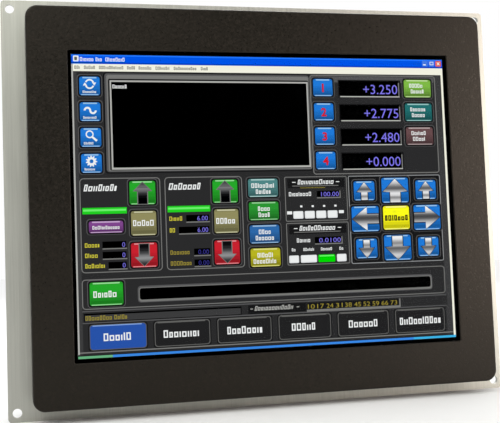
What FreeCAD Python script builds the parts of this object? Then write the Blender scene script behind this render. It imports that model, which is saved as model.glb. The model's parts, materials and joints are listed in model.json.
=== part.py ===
import FreeCAD, Part
import math
import os
import Sketcher
from types import SimpleNamespace
from FreeCAD import Placement, Rotation, Vector

# A 15 inch panel-mounted touch screen for a machine. +X is right as the operator sees it,
# +Y points into the cabinet and +Z is up. The origin is the centre of the mounting plate's
# rear face, which is the face that bears on the cabinet.

SIZES = {
    # mounting plate and its seal to the cabinet
    "plate_width": 407.0, "plate_height": 322.0, "plate_thick": 3.0, "plate_corner": 3.0,
    "mount_hole": 7.0, "mount_inset": 6.8, "opening_width": 300.0, "opening_height": 216.0,
    "gasket_inset": 11.5, "gasket_width": 6.0, "gasket_thick": 1.0, "gasket_corner": 10.0,
    "groove_play": 0.1,
    # raised bezel around the screen
    "bezel_width": 371.0, "bezel_height": 301.6, "bezel_depth": 26.0, "bezel_corner": 9.0,
    "bezel_wall": 4.0, "bezel_front": 3.5, "bezel_round": 1.5, "lip_thick": 1.0, "lip_bevel": 0.6,
    "window_width": 309.5, "window_height": 234.0, "window_corner": 1.0,
    "seat_width": 332.0, "seat_height": 256.0, "seat_corner": 2.0,
    "boss_size": 8.6, "boss_x": 169.0, "boss_z": 131.0, "boss_mid_z": 131.5, "boss_drill": 15.0,
    "seal_inset": 1.2, "seal_width": 1.6, "seal_thick": 1.0,
    # touch sensor
    "foam_thick": 0.4, "foam_width": 7.0, "glass_width": 328.0, "glass_height": 251.0,
    "glass_thick": 1.1, "border_thick": 0.1, "view_width": 305.1, "view_height": 229.1,
    "tail_width": 12.0, "tail_thick": 0.3, "tail_x": 110.0,
    # display module, 15 inch diagonal with sides of 4 to 3
    "module_width": 326.5, "module_height": 253.5, "module_wall": 0.5, "module_window_width": 308.0,
    "module_window_height": 232.0, "cell_width": 320.0, "cell_height": 244.0, "cell_thick": 1.3,
    "sheets_thick": 0.8, "guide_height": 236.0, "guide_thick": 5.5, "back_thick": 1.0,
    "led_bar_height": 3.4, "led_bar_width": 310.0, "support_rail": 2.4, "fit_play": 0.1,
    "timing_width": 220.0, "timing_height": 28.0, "timing_thick": 1.2, "timing_z": -20.0,
    "bracket_thick": 1.5, "bracket_length": 200.0, "bracket_foot": 12.5, "bracket_front": -22.0,
    # tray, standoffs and boards inside the housing
    "tray_width": 328.0, "tray_height": 244.0, "tray_thick": 1.5, "tray_corner": 3.0,
    "tray_screw_x": 157.0, "tray_screw_z": 95.0, "standoff_height": 6.0, "standoff_size": 5.5,
    "board_thick": 1.6, "board_hole_inset": 4.0,
    # housing behind the plate
    "housing_width": 366.0, "housing_height": 282.0, "housing_depth": 44.0, "sheet_thick": 1.5,
    "housing_corner": 4.0, "front_flange": 18.0, "rear_flange": 7.0,
    "cover_screw_inset": 4.4, "cover_rise": 8.0, "raised_width": 300.0, "raised_height": 216.0,
    "raised_corner": 12.0, "raised_round": 1.2, "vesa_pitch": 100.0, "vesa_bore": 3.4,
    "insert_collar": 8.0, "insert_spigot": 5.5, "insert_seat": 5.6, "insert_height": 3.0,
    # ventilation slots of the housing and of the rear cover
    "vent_width": 2.4, "vent_length": 28.0, "vent_pitch": 6.0, "vent_y": 22.0,
    "grille_width": 3.0, "grille_length": 46.0, "grille_pitch": 7.0, "grille_left": -136.0,
    "grille_right": 80.0, "grille_low": -60.0, "grille_high": 40.0, "slot_round": 0.01,
    # screws: bore is the hole that a screw bites into, free is the hole that it passes through
    "m3_shank": 2.9, "m3_bore": 3.0, "m3_free": 3.4, "m3_head": 5.6, "m3_head_high": 2.0,
    "m4_shank": 3.9, "m4_bore": 4.0, "m4_free": 4.5, "m4_head": 7.6, "m4_head_high": 2.6,
    # connectors in the housing's lower wall
    "socket_y": 15.5, "video_x": -20.0, "serial_x": 125.0, "usb_x": 92.0, "post_pitch": 25.0,
    "dc_x": -118.0, "dc_width": 16.0, "dc_deep": 12.0, "dc_low": -146.0, "dc_tall": 14.0,
    "dc_pitch": 5.08, "earth_x": -144.0, "earth_y": 22.0, "earth_length": 13.0,
    "post_hex": 5.5, "post_length": 4.6, "post_bore": 2.5, "shell_proud": 4.6,
    "d_cut_width": 18.0, "d_cut_height": 9.4, "d_flange_width": 30.8, "d_flange_height": 12.4,
    "d_wide": 16.9, "d_narrow": 15.2, "d_deep": 8.3, "d_shell": 0.6, "d_play": 0.05,
    "d_block_width": 20.0, "d_block_high": 12.2, "d_block_long": 11.0, "pin_hole": 1.1,
    "usb_width": 12.0, "usb_height": 10.8, "usb_shell": 0.4, "usb_cut_play": 0.6,
    "usb_play": 0.1, "usb_long": 15.0, "usb_mouth_width": 8.5, "usb_mouth_height": 7.8,
    "usb_mouth_deep": 9.0, "usb_tongue_width": 5.6, "usb_tongue_height": 3.2,
    "earth_hole": 4.2, "earth_foot": 8.0, "earth_washer": 9.0, "earth_hex": 8.08,
    "dc_cut_play": 0.8, "dc_mouth_width": 3.0, "dc_mouth_height": 3.4, "dc_screw_hole": 3.4,
    "dc_screw": 3.2, "dc_screw_deep": 4.0,
    # rocker switch in the housing's lower wall
    "switch_x": -82.0, "switch_y": 24.0, "rocker_tilt": 8.0, "rocker_half": 7.4,
    "switch_width": 18.8, "switch_thick": 12.6, "switch_tall": 19.0, "switch_cut_play": 0.6,
    "switch_lip_width": 21.2, "switch_lip_thick": 15.2, "switch_lip": 2.0, "pivot_in": 0.6,
    "rocker_thick": 10.0, "rocker_pin": 2.0, "rocker_play": 0.05,
    # setting keys in the rear cover
    "key_first_x": 46.0, "key_pitch": 14.0, "key_z": 88.0, "key_size": 7.0, "key_play": 0.1,
    "key_proud": 1.8, "key_board_width": 84.0, "key_board_height": 14.0,
}


class Size(float):
    """A length that remembers the sheet expression it comes from."""

    def __new__(cls, amount, text):
        size = super().__new__(cls, amount)
        size.text = text
        return size

    def combine(self, other, sign, amount, swap=False):
        texts = [self.text, source(other)]
        if swap:
            texts.reverse()
        return Size(amount, f"({texts[0]} {sign} {texts[1]})")

    def __add__(self, other):
        return self.combine(other, "+", float(self) + float(other))

    __radd__ = __add__

    def __sub__(self, other):
        return self.combine(other, "-", float(self) - float(other))

    def __rsub__(self, other):
        return self.combine(other, "-", float(other) - float(self), swap=True)

    def __mul__(self, other):
        return self.combine(other, "*", float(self) * float(other))

    __rmul__ = __mul__

    def __truediv__(self, other):
        return self.combine(other, "/", float(self) / float(other))

    def __neg__(self):
        return Size(-float(self), f"(0 - {self.text})")


def source(length):
    """Expression text of a length, which is a plain number when it isn't bound to the sheet."""
    return length.text if isinstance(length, Size) else f"({float(length)!r})"


def bind(item, field, length):
    """Sets a property and keeps it bound to the sheet."""
    item.setExpression(field, source(length))


doc = FreeCAD.newDocument("touch_panel")
sheet = doc.addObject("Spreadsheet::Sheet", "sizes")
for row, (alias, amount) in enumerate(SIZES.items(), start=1):
    sheet.set(f"A{row}", alias)
    sheet.set(f"B{row}", str(amount))
    sheet.setAlias(f"B{row}", alias)
doc.recompute()
d = SimpleNamespace(**{alias: Size(sheet.get(alias), f"sizes.{alias}") for alias in SIZES})
NODES = []


# ---------------------------------------------------------------- sketches and features

def constrain(sketch, length, *parts):
    """Adds a dimension to a sketch and binds it to the sheet."""
    index = sketch.addConstraint(Sketcher.Constraint(*parts, float(length)))
    bind(sketch, f"Constraints[{index}]", length)


def place_point(sketch, x, y, geometry, corner):
    """Holds a point of the sketch at x, y."""
    constrain(sketch, x, "DistanceX", -1, 1, geometry, corner)
    constrain(sketch, y, "DistanceY", -1, 1, geometry, corner)


def circle(size, x, y):
    """Outline of a round hole or boss."""
    def draw(sketch):
        centre = Vector(float(x), float(y), 0)
        index = sketch.addGeometry(Part.Circle(centre, Vector(0, 0, 1), float(size) / 2), False)
        constrain(sketch, size, "Diameter", index)
        place_point(sketch, x, y, index, 3)
    return draw


def rect(width, height, x=0.0, y=0.0):
    """Outline of a sharp rectangle centred on x, y."""
    def draw(sketch):
        left, right = float(x) - float(width) / 2, float(x) + float(width) / 2
        low, high = float(y) - float(height) / 2, float(y) + float(height) / 2
        corners = [Vector(left, low), Vector(right, low), Vector(right, high), Vector(left, high)]
        lines = [sketch.addGeometry(Part.LineSegment(a, b), False)
                 for a, b in zip(corners, corners[1:] + corners[:1])]
        middle = sketch.addGeometry(Part.Point(Vector(float(x), float(y), 0)), True)
        for this, following in zip(lines, lines[1:] + lines[:1]):
            sketch.addConstraint(Sketcher.Constraint("Coincident", this, 2, following, 1))
        for index in (0, 2):
            sketch.addConstraint(Sketcher.Constraint("Horizontal", lines[index]))
            sketch.addConstraint(Sketcher.Constraint("Vertical", lines[index + 1]))
        sketch.addConstraint(
            Sketcher.Constraint("Symmetric", lines[0], 1, lines[2], 1, middle, 1))
        constrain(sketch, width, "DistanceX", lines[0], 1, lines[0], 2)
        constrain(sketch, height, "DistanceY", lines[1], 1, lines[1], 2)
        place_point(sketch, x, y, middle, 1)
    return draw


def round_rect(width, height, radius, x=0.0, y=0.0):
    """Outline of a rectangle with rounded corners, centred on x, y."""
    def draw(sketch):
        r, turn = float(radius), math.pi / 2
        half_x, half_y = float(width) / 2 - r, float(height) / 2 - r
        centres = [Vector(float(x) + a * half_x, float(y) + b * half_y, 0)
                   for a, b in ((1, 1), (-1, 1), (-1, -1), (1, -1))]
        arcs = []
        for quarter, centre in enumerate(centres):
            start = quarter * turn
            ring = Part.Circle(centre, Vector(0, 0, 1), r)
            arcs.append(sketch.addGeometry(Part.ArcOfCircle(ring, start, start + turn), False))
        lines = []
        for quarter, out in enumerate((Vector(0, r), Vector(-r, 0), Vector(0, -r), Vector(r, 0))):
            begin, end = centres[quarter] + out, centres[(quarter + 1) % 4] + out
            lines.append(sketch.addGeometry(Part.LineSegment(begin, end), False))
        for quarter in range(4):
            following = (quarter + 1) % 4
            sketch.addConstraint(
                Sketcher.Constraint("Tangent", arcs[quarter], 2, lines[quarter], 1))
            sketch.addConstraint(
                Sketcher.Constraint("Tangent", lines[quarter], 2, arcs[following], 1))
            direction = "Vertical" if quarter % 2 else "Horizontal"
            sketch.addConstraint(Sketcher.Constraint(direction, lines[quarter]))
        for arc in arcs[1:]:
            sketch.addConstraint(Sketcher.Constraint("Equal", arcs[0], arc))
        middle = sketch.addGeometry(Part.Point(Vector(float(x), float(y), 0)), True)
        sketch.addConstraint(Sketcher.Constraint("Symmetric", arcs[0], 3, arcs[2], 3, middle, 1))
        constrain(sketch, radius, "Radius", arcs[0])
        constrain(sketch, width - 2 * radius, "DistanceX", arcs[1], 3, arcs[0], 3)
        constrain(sketch, height - 2 * radius, "DistanceY", arcs[3], 3, arcs[0], 3)
        place_point(sketch, x, y, middle, 1)
    return draw


def polygon(points):
    """Closed outline through the points."""
    def draw(sketch):
        places = [Vector(float(x), float(y), 0) for x, y in points]
        lines = [sketch.addGeometry(Part.LineSegment(a, b), False)
                 for a, b in zip(places, places[1:] + places[:1])]
        for this, following in zip(lines, lines[1:] + lines[:1]):
            sketch.addConstraint(Sketcher.Constraint("Coincident", this, 2, following, 1))
        for line, (x, y) in zip(lines, points):
            place_point(sketch, x, y, line, 1)
    return draw


def keep(name, item):
    """Labels an item and lists it as a piece of the panel."""
    item.Label = name
    NODES.append(item)
    return item


def new_body(name):
    """An empty body that is a piece of the panel."""
    return keep(name, doc.addObject("PartDesign::Body", f"{name}_body"))


def new_sketch(body, plane, level, outlines):
    """Sketch of the outlines on an origin plane of the body, moved to the level."""
    sketch = body.newObject("Sketcher::SketchObject", f"{body.Name}_sketch")
    origin = [item for item in body.Origin.OriginFeatures if item.Role == f"{plane}_Plane"][0]
    sketch.AttachmentSupport = (origin, "")
    sketch.MapMode = "FlatFace"
    bind(sketch, ".AttachmentOffset.Base.z", -level if plane == "XZ" else level)
    for draw in outlines:
        draw(sketch)
    return sketch


def pad(body, plane, low, high, *outlines):
    """Adds material between two levels. The XZ plane's normal points to -Y."""
    sketch = new_sketch(body, plane, high if plane == "XZ" else low, outlines)
    feature = body.newObject("PartDesign::Pad", f"{body.Name}_pad")
    feature.Profile = sketch
    bind(feature, "Length", high - low)
    sketch.Visibility = False
    doc.recompute()
    return feature


def pocket(body, plane, low, high, *outlines):
    """Removes material between two levels."""
    sketch = new_sketch(body, plane, low if plane == "XZ" else high, outlines)
    feature = body.newObject("PartDesign::Pocket", f"{body.Name}_pocket")
    feature.Profile = sketch
    bind(feature, "Length", high - low)
    sketch.Visibility = False
    doc.recompute()
    return feature


def row(body, feature, axis, length, count):
    """Repeats a feature in a straight row along a sketch axis."""
    pattern = body.newObject("PartDesign::LinearPattern", f"{body.Name}_row")
    pattern.Originals = [feature]
    pattern.Direction = (feature.Profile[0], [axis])
    bind(pattern, "Length", length)
    pattern.Occurrences = count
    body.Tip = pattern
    doc.recompute()
    return pattern


def dress(body, kind, wanted, length):
    """Fillets or chamfers the edges of the body that pass the test."""
    base = body.Tip
    names = [f"Edge{index}" for index, edge in enumerate(base.Shape.Edges, start=1)
             if wanted(edge)]
    feature = body.newObject(f"PartDesign::{kind}", f"{body.Name}_{kind.lower()}")
    feature.Base = (base, names)
    bind(feature, "Radius" if kind == "Fillet" else "Size", length)
    body.Tip = feature
    doc.recompute()
    return feature


def flat_at(level, axis=1):
    """Test for an edge that lies wholly at one level of the axis."""
    def wanted(edge):
        box = edge.BoundBox
        low = (box.XMin, box.YMin, box.ZMin)[axis]
        high = (box.XMax, box.YMax, box.ZMax)[axis]
        return abs(low - float(level)) < 1e-4 and abs(high - float(level)) < 1e-4
    return wanted


def within(half_x, half_z, inner=False):
    """Test for an edge whose centre lies beyond the half sizes, or within them."""
    def wanted(edge):
        centre = edge.BoundBox.Center
        outside = abs(centre.x) > float(half_x) or abs(centre.z) > float(half_z)
        return outside != inner
    return wanted


def corners(x, z):
    """The four points at plus and minus x and z."""
    return [(x, z), (-x, z), (-x, -z), (x, -z)]


# ---------------------------------------------------------------- plain solids

def box(name, low, high):
    """Box between two opposite corners."""
    item = doc.addObject("Part::Box", name)
    for field, a, b in zip(("Length", "Width", "Height"), low, high):
        bind(item, field, b - a)
    for axis, a in zip("xyz", low):
        bind(item, f"Placement.Base.{axis}", a)
    return item


TURNS = {"+z": Rotation(), "-z": Rotation(Vector(1, 0, 0), 180),
         "+y": Rotation(Vector(1, 0, 0), -90), "-y": Rotation(Vector(1, 0, 0), 90),
         "+x": Rotation(Vector(0, 1, 0), 90), "-x": Rotation(Vector(0, 1, 0), -90)}


def cylinder(name, at, way, size, length):
    """Cylinder of a stated diameter that starts at a point and runs along an axis."""
    item = doc.addObject("Part::Cylinder", name)
    bind(item, "Radius", size / 2)
    bind(item, "Height", length)
    item.Placement = Placement(Vector(*map(float, at)), TURNS[way])
    for axis, a in zip("xyz", at):
        bind(item, f"Placement.Base.{axis}", a)
    return item


def hexagon(name, at, way, across, length):
    """Hexagonal bar of a stated width across its corners."""
    item = doc.addObject("Part::Prism", name)
    item.Polygon = 6
    bind(item, "Circumradius", across / 2)
    bind(item, "Height", length)
    item.Placement = Placement(Vector(*map(float, at)), TURNS[way])
    for axis, a in zip("xyz", at):
        bind(item, f"Placement.Base.{axis}", a)
    return item


def fuse(name, items):
    """One solid made of several that touch or overlap."""
    item = doc.addObject("Part::MultiFuse", name)
    item.Shapes = items
    return item


def cut(name, base, tool):
    """The base less the tool."""
    item = doc.addObject("Part::Cut", name)
    item.Base, item.Tool = base, tool
    return item


def group(name, items):
    """A piece of the panel that is made of several separate solids."""
    item = doc.addObject("Part::Compound", f"{name}_group")
    item.Links = items
    return keep(name, item)


def step(at, way, distance):
    """The point a distance along an axis from another."""
    axis = "xyz".index(way[1])
    moved = list(at)
    moved[axis] = at[axis] + (distance if way[0] == "+" else -distance)
    return moved


def screw(name, seat, way, thread, length):
    """Socket-headed screw: its head stands on the seat and its shank runs along the way."""
    shank_size, head_size, head_high = {
        "m3": (d.m3_shank, d.m3_head, d.m3_head_high),
        "m4": (d.m4_shank, d.m4_head, d.m4_head_high)}[thread]
    back = {"+": "-", "-": "+"}[way[0]] + way[1]
    head = cylinder(f"{name}_head", seat, back, head_size, head_high)
    shank = cylinder(f"{name}_shank", seat, way, shank_size, length)
    socket = hexagon(f"{name}_socket", step(seat, back, head_high * 0.4), back, head_size * 0.52,
                     head_high)
    return cut(name, fuse(f"{name}_blank", [head, shank]), socket)


def screws(name, seats, way, thread, length):
    """A set of identical screws as one piece."""
    return group(name, [screw(f"{name}_{index}", seat, way, thread, length)
                        for index, seat in enumerate(seats, start=1)])


def ribbon(name, x, width, path, thickness):
    """Flat cable of a stated width along X that follows a path of (y, z) points."""
    half = float(thickness) / 2
    points = [Vector(0, float(y), float(z)) for y, z in path]
    sides = []
    for index, point in enumerate(points):
        before = (point - points[index - 1]) if index else (points[1] - point)
        after = (points[index + 1] - point) if index < len(points) - 1 else before
        before.normalize()
        after.normalize()
        normals = [Vector(0, -way.z, way.y) for way in (before, after)]
        middle = (normals[0] + normals[1]).normalize()
        reach = half / max(middle.dot(normals[0]), 0.5)
        sides.append((point + middle * reach, point - middle * reach))
    outline = [side[0] for side in sides] + [side[1] for side in reversed(sides)]
    face = Part.Face(Part.makePolygon(outline + outline[:1]))
    item = doc.addObject("Part::Feature", f"{name}_ribbon")
    item.Shape = face.extrude(Vector(float(width), 0, 0))
    item.Placement = Placement(Vector(float(x) - float(width) / 2, 0, 0), Rotation())
    return keep(name, item)


# ---------------------------------------------------------------- levels along Y

plate_front = -d.plate_thick
bezel_face = plate_front - d.bezel_depth
lip_back = bezel_face + d.lip_thick
foam_back = lip_back + d.foam_thick
glass_back = foam_back + d.glass_thick
border_back = glass_back + d.border_thick
frame_back = border_back + d.module_wall
cell_back = frame_back + d.cell_thick
sheets_back = cell_back + d.sheets_thick
guide_back = sheets_back + d.guide_thick
module_back = guide_back + d.back_thick
board_front = d.tray_thick + d.standoff_height
board_back = board_front + d.board_thick
cover_back = d.housing_depth + d.sheet_thick
raised_back = cover_back + d.cover_rise
floor_out = -d.housing_height / 2
floor_in = floor_out + d.sheet_thick
usb_y = board_back + d.usb_height / 2 + 0.2
dc_y = board_back + d.dc_deep / 2

BEZEL_SCREWS = corners(d.boss_x, d.boss_z) + [(0.0, d.boss_mid_z), (0.0, -d.boss_mid_z)]
TRAY_SCREWS = corners(d.tray_screw_x, d.tray_screw_z) + [(d.tray_screw_x, 0.0),
                                                         (-d.tray_screw_x, 0.0)]
bracket_screw_x = d.module_width / 2 + d.bracket_foot * 0.58
bracket_screw_z = d.bracket_length * 0.4
module_screw_z = d.bracket_length * 0.3
module_screw_y = guide_back - 2.5
BRACKET_SCREWS = corners(bracket_screw_x, bracket_screw_z)


def ring(body, low, high, width, height, rim, radius):
    """Flat ring between two levels, as wide as the rim all round."""
    pad(body, "XZ", low, high, round_rect(width, height, radius),
        round_rect(width - 2 * rim, height - 2 * rim, radius - rim))


# ---------------------------------------------------------------- plate, bezel and seals

def make_plate():
    body = new_body("mounting_plate")
    pad(body, "XZ", plate_front, 0.0,
        round_rect(d.plate_width, d.plate_height, d.plate_corner),
        round_rect(d.opening_width, d.opening_height, d.plate_corner))
    holes = corners(d.plate_width / 2 - d.mount_inset, d.plate_height / 2 - d.mount_inset)
    pocket(body, "XZ", plate_front, 0.0,
           *[circle(d.mount_hole, x, z) for x, z in holes],
           *[circle(d.m4_free, x, z) for x, z in BEZEL_SCREWS],
           *[circle(d.m4_bore, x, z) for x, z in BRACKET_SCREWS],
           *[circle(d.m3_bore, x, z) for x, z in TRAY_SCREWS])
    outer_width = d.plate_width - 2 * (d.gasket_inset - d.groove_play)
    outer_height = d.plate_height - 2 * (d.gasket_inset - d.groove_play)
    rim = d.gasket_width + 2 * d.groove_play
    radius = d.gasket_corner
    pocket(body, "XZ", -d.gasket_thick, 0.0,
           round_rect(outer_width, outer_height, radius),
           round_rect(outer_width - 2 * rim, outer_height - 2 * rim, radius - rim))


def make_seals():
    ring(new_body("panel_gasket"), -d.gasket_thick, 0.0,
         d.plate_width - 2 * d.gasket_inset, d.plate_height - 2 * d.gasket_inset,
         d.gasket_width, d.gasket_corner - d.groove_play)
    ring(new_body("bezel_seal"), plate_front - d.seal_thick, plate_front,
         d.bezel_width - 2 * d.seal_inset, d.bezel_height - 2 * d.seal_inset,
         d.seal_width, d.bezel_corner - d.seal_inset)
    ring(new_body("window_gasket"), lip_back, foam_back, d.glass_width, d.glass_height,
         d.foam_width, d.foam_width + d.seat_corner)


def make_bezel():
    body = new_body("bezel")
    pad(body, "XZ", bezel_face, plate_front,
        round_rect(d.bezel_width, d.bezel_height, d.bezel_corner))
    dress(body, "Fillet", flat_at(bezel_face), d.bezel_round)
    inside = d.bezel_wall * 2
    pocket(body, "XZ", bezel_face + d.bezel_front, plate_front,
           round_rect(d.bezel_width - inside, d.bezel_height - inside,
                      d.bezel_corner - d.bezel_wall))
    pocket(body, "XZ", lip_back, plate_front,
           round_rect(d.seat_width, d.seat_height, d.seat_corner))
    pocket(body, "XZ", bezel_face, plate_front,
           round_rect(d.window_width, d.window_height, d.window_corner))
    at_window = within(d.window_width / 2 + 1.0, d.window_height / 2 + 1.0, inner=True)
    at_face = flat_at(bezel_face)
    dress(body, "Chamfer", lambda edge: at_face(edge) and at_window(edge), d.lip_bevel)
    boss_front = bezel_face + d.bezel_front - 0.5
    for index, (x, z) in enumerate(BEZEL_SCREWS):
        pad(body, "XZ", boss_front, plate_front, circle(d.boss_size, x, z))
        side = -1.0 if z < 0 else 1.0
        rib_high = (d.bezel_height / 2 - d.bezel_wall - abs(float(z))) + 1.0
        pad(body, "XZ", boss_front, plate_front,
            rect(d.bezel_wall / 2, rib_high, x, z + side * rib_high / 2))
    drill = plate_front - d.boss_drill
    pocket(body, "XZ", drill, plate_front,
           *[circle(d.m4_bore, x, z) for x, z in BEZEL_SCREWS])
    width = d.bezel_width - 2 * d.seal_inset
    height = d.bezel_height - 2 * d.seal_inset
    pocket(body, "XZ", plate_front - d.seal_thick, plate_front,
           round_rect(width, height, d.bezel_corner - d.seal_inset),
           round_rect(width - 2 * d.seal_width, height - 2 * d.seal_width,
                      d.bezel_corner - d.seal_inset - d.seal_width))


# ---------------------------------------------------------------- touch sensor and display

def make_touch_sensor():
    pad(new_body("touch_glass"), "XZ", foam_back, glass_back,
        round_rect(d.glass_width, d.glass_height, d.seat_corner))
    pad(new_body("touch_border"), "XZ", glass_back, border_back,
        round_rect(d.glass_width, d.glass_height, d.seat_corner),
        rect(d.view_width, d.view_height))
    edge = -d.glass_height / 2
    under = -d.module_height / 2 - 0.65
    middle = (foam_back + glass_back) / 2
    ribbon("touch_tail", d.tail_x, d.tail_width,
           [(middle, edge), (middle, under), (module_back + 2.8, under),
            (module_back + 4.8, -104.0), (2.5, -98.0), (4.5, -90.0), (5.0, -84.0),
            (11.0, -82.0), (11.0, -86.9)], d.tail_thick)


def make_module():
    body = new_body("lcd_front_frame")
    pad(body, "XZ", border_back, module_back, rect(d.module_width, d.module_height))
    pocket(body, "XZ", frame_back, module_back,
           rect(d.module_width - 2 * d.module_wall, d.module_height - 2 * d.module_wall))
    pocket(body, "XZ", border_back, frame_back,
           rect(d.module_window_width, d.module_window_height))
    hole = d.m3_free
    for low, high in ((-d.module_width / 2, -d.module_width / 2 + d.module_wall),
                      (d.module_width / 2 - d.module_wall, d.module_width / 2)):
        pocket(body, "YZ", low, high, *[circle(hole, module_screw_y, z)
                                        for z in (module_screw_z, -module_screw_z)])
    pad(new_body("lcd_cell"), "XZ", frame_back, cell_back, rect(d.cell_width, d.cell_height))
    pad(new_body("diffuser_sheets"), "XZ", cell_back, sheets_back,
        rect(d.cell_width, d.cell_height - 2.0))
    pad(new_body("light_guide"), "XZ", sheets_back, guide_back,
        rect(d.cell_width - 0.4, d.guide_height))
    bar_low = d.guide_height / 2 + d.fit_play
    half = d.led_bar_width / 2
    group("led_bars", [
        box("led_bar_top", (-half, sheets_back, bar_low), (half, guide_back, bar_low + d.led_bar_height)),
        box("led_bar_bottom", (-half, sheets_back, -bar_low - d.led_bar_height),
            (half, guide_back, -bar_low))])
    body = new_body("lcd_support_frame")
    width = d.module_width - 2 * d.module_wall - 2 * d.fit_play
    height = d.module_height - 2 * d.module_wall - 2 * d.fit_play
    pad(body, "XZ", frame_back, guide_back, rect(width, height),
        rect(d.cell_width + d.fit_play, d.cell_height + d.fit_play))
    reach = d.m3_bore
    pocket(body, "YZ", -width / 2, -d.cell_width / 2, *[
        circle(reach, module_screw_y, z) for z in (module_screw_z, -module_screw_z)])
    pocket(body, "YZ", d.cell_width / 2, width / 2, *[
        circle(reach, module_screw_y, z) for z in (module_screw_z, -module_screw_z)])
    pad(new_body("lcd_back_plate"), "XZ", guide_back, module_back, rect(width, height))


def make_timing_board():
    low_z = d.timing_z - d.timing_height / 2
    half = d.timing_width / 2
    back = module_back + d.timing_thick
    board = box("timing_pcb", (-half, module_back, low_z), (half, back, low_z + d.timing_height))
    parts = [board]
    for index, x in enumerate((-85.0, -45.0, 55.0, 90.0)):
        parts.append(box(f"timing_chip_{index}", (x - 7.0, back, d.timing_z - 5.0),
                         (x + 7.0, back + 1.4, d.timing_z + 5.0)))
    parts.append(box("timing_connector", (-9.0, back, d.timing_z - 3.0),
                     (19.0, back + 3.2, d.timing_z + 3.0)))
    keep("timing_board", fuse("timing_board_piece", parts))


def make_brackets():
    group_items = []
    foot_front = plate_front - d.bracket_thick
    for side, name in ((1, "right"), (-1, "left")):
        inner = side * d.module_width / 2
        leg_outer = inner + side * d.bracket_thick
        foot_outer = inner + side * d.bracket_foot
        half = d.bracket_length / 2
        spans = [(inner, leg_outer, d.bracket_front), (inner, foot_outer, foot_front)]
        leaves = []
        for number, (a, b, front) in enumerate(spans):
            low, high = (a, b) if side > 0 else (b, a)
            leaves.append(box(f"bracket_{name}_{number}", (low, front, -half),
                              (high, plate_front, half)))
        blank = fuse(f"bracket_{name}_blank", leaves)
        drills = []
        for number, sign in enumerate((1.0, -1.0)):
            drills.append(cylinder(f"bracket_{name}_foot_{number}",
                                   (side * bracket_screw_x, plate_front, sign * bracket_screw_z),
                                   "-y", d.m4_free, d.bracket_thick))
            drills.append(cylinder(f"bracket_{name}_leg_{number}",
                                   (inner, module_screw_y, sign * module_screw_z),
                                   "+x" if side > 0 else "-x", d.m3_free, d.bracket_thick))
        group_items.append(cut(f"bracket_{name}", blank, fuse(f"bracket_{name}_drills", drills)))
    group("lcd_brackets", group_items)
    screws("bracket_screws", [(x, foot_front, z) for x, z in BRACKET_SCREWS], "+y", "m4",
           d.bracket_thick + d.plate_thick - 0.3)
    seat = d.module_width / 2 + d.bracket_thick
    sides = []
    for number, sign in enumerate((1.0, -1.0)):
        sides.append(screw(f"module_screw_r{number}", (seat, module_screw_y, sign * module_screw_z),
                           "-x", "m3", d.bracket_thick + d.module_wall + d.support_rail - 0.2))
        sides.append(screw(f"module_screw_l{number}", (-seat, module_screw_y, sign * module_screw_z),
                           "+x", "m3", d.bracket_thick + d.module_wall + d.support_rail - 0.2))
    group("module_screws", sides)


# ---------------------------------------------------------------- tray and boards

# name of each board and its low and high corners in X and Z
BOARDS = {"video_board": (-52.0, -137.0, 62.0, -47.0), "touch_board": (76.0, -137.0, 152.0, -87.0),
          "power_board": (-152.0, -137.0, -66.0, -62.0), "backlight_board": (-64.0, 58.0, 60.0, 92.0)}
CABLE_SLOTS = [(5.0, -36.0, 34.0, 13.0), (-40.0, 98.0, 16.0, 12.0), (110.0, -98.5, 18.0, 8.0)]


def board_holes(name):
    """Centres of the four mounting holes of a board."""
    x0, z0, x1, z1 = BOARDS[name]
    inset = d.board_hole_inset
    lift = 15.0 if name in ("video_board", "touch_board", "power_board") else 0.0
    return [(x0 + inset, z0 + inset + lift), (x1 - inset, z0 + inset + lift),
            (x0 + inset, z1 - inset), (x1 - inset, z1 - inset)]


def make_tray():
    body = new_body("board_tray")
    pad(body, "XZ", 0.0, d.tray_thick,
        round_rect(d.tray_width, d.tray_height, d.tray_corner))
    pocket(body, "XZ", 0.0, d.tray_thick,
           *[round_rect(width, height, d.tray_corner, x, z) for x, z, width, height in CABLE_SLOTS],
           *[circle(d.m3_free, x, z) for x, z in TRAY_SCREWS],
           *[circle(d.m3_bore, x, z) for name in BOARDS for x, z in board_holes(name)])
    screws("tray_screws", [(x, d.tray_thick, z) for x, z in TRAY_SCREWS], "-y", "m3",
           d.tray_thick + d.plate_thick - 0.3)


def make_boards():
    posts, board_screws = [], []
    for name, (x0, z0, x1, z1) in BOARDS.items():
        body = new_body(name)
        pad(body, "XZ", board_front, board_back,
            rect(x1 - x0, z1 - z0, (x0 + x1) / 2, (z0 + z1) / 2))
        pocket(body, "XZ", board_front, board_back,
               *[circle(d.m3_free, x, z) for x, z in board_holes(name)])
        for index, (x, z) in enumerate(board_holes(name)):
            post = cylinder(f"{name}_post_{index}", (x, d.tray_thick, z), "+y",
                            d.standoff_size, d.standoff_height)
            bore = cylinder(f"{name}_bore_{index}", (x, d.tray_thick, z), "+y",
                            d.m3_bore, d.standoff_height)
            posts.append(cut(f"{name}_standoff_{index}", post, bore))
            board_screws.append(screw(f"{name}_screw_{index}", (x, board_back, z), "-y", "m3",
                                      d.standoff_height))
    group("board_standoffs", posts)
    group("board_screws", board_screws)


def blocks(name, listing):
    """Components that stand on a board: x, z, width, height along Z and how far they rise."""
    return [box(f"{name}_{index}", (x - width / 2, board_back, z - tall / 2),
                (x + width / 2, board_back + rise, z + tall / 2))
            for index, (x, z, width, tall, rise) in enumerate(listing)]


def cans(name, listing):
    """Round components that stand on a board: x, z, diameter and how far they rise."""
    return [cylinder(f"{name}_{index}", (x, board_back, z), "+y", size, rise)
            for index, (x, z, size, rise) in enumerate(listing)]


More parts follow.
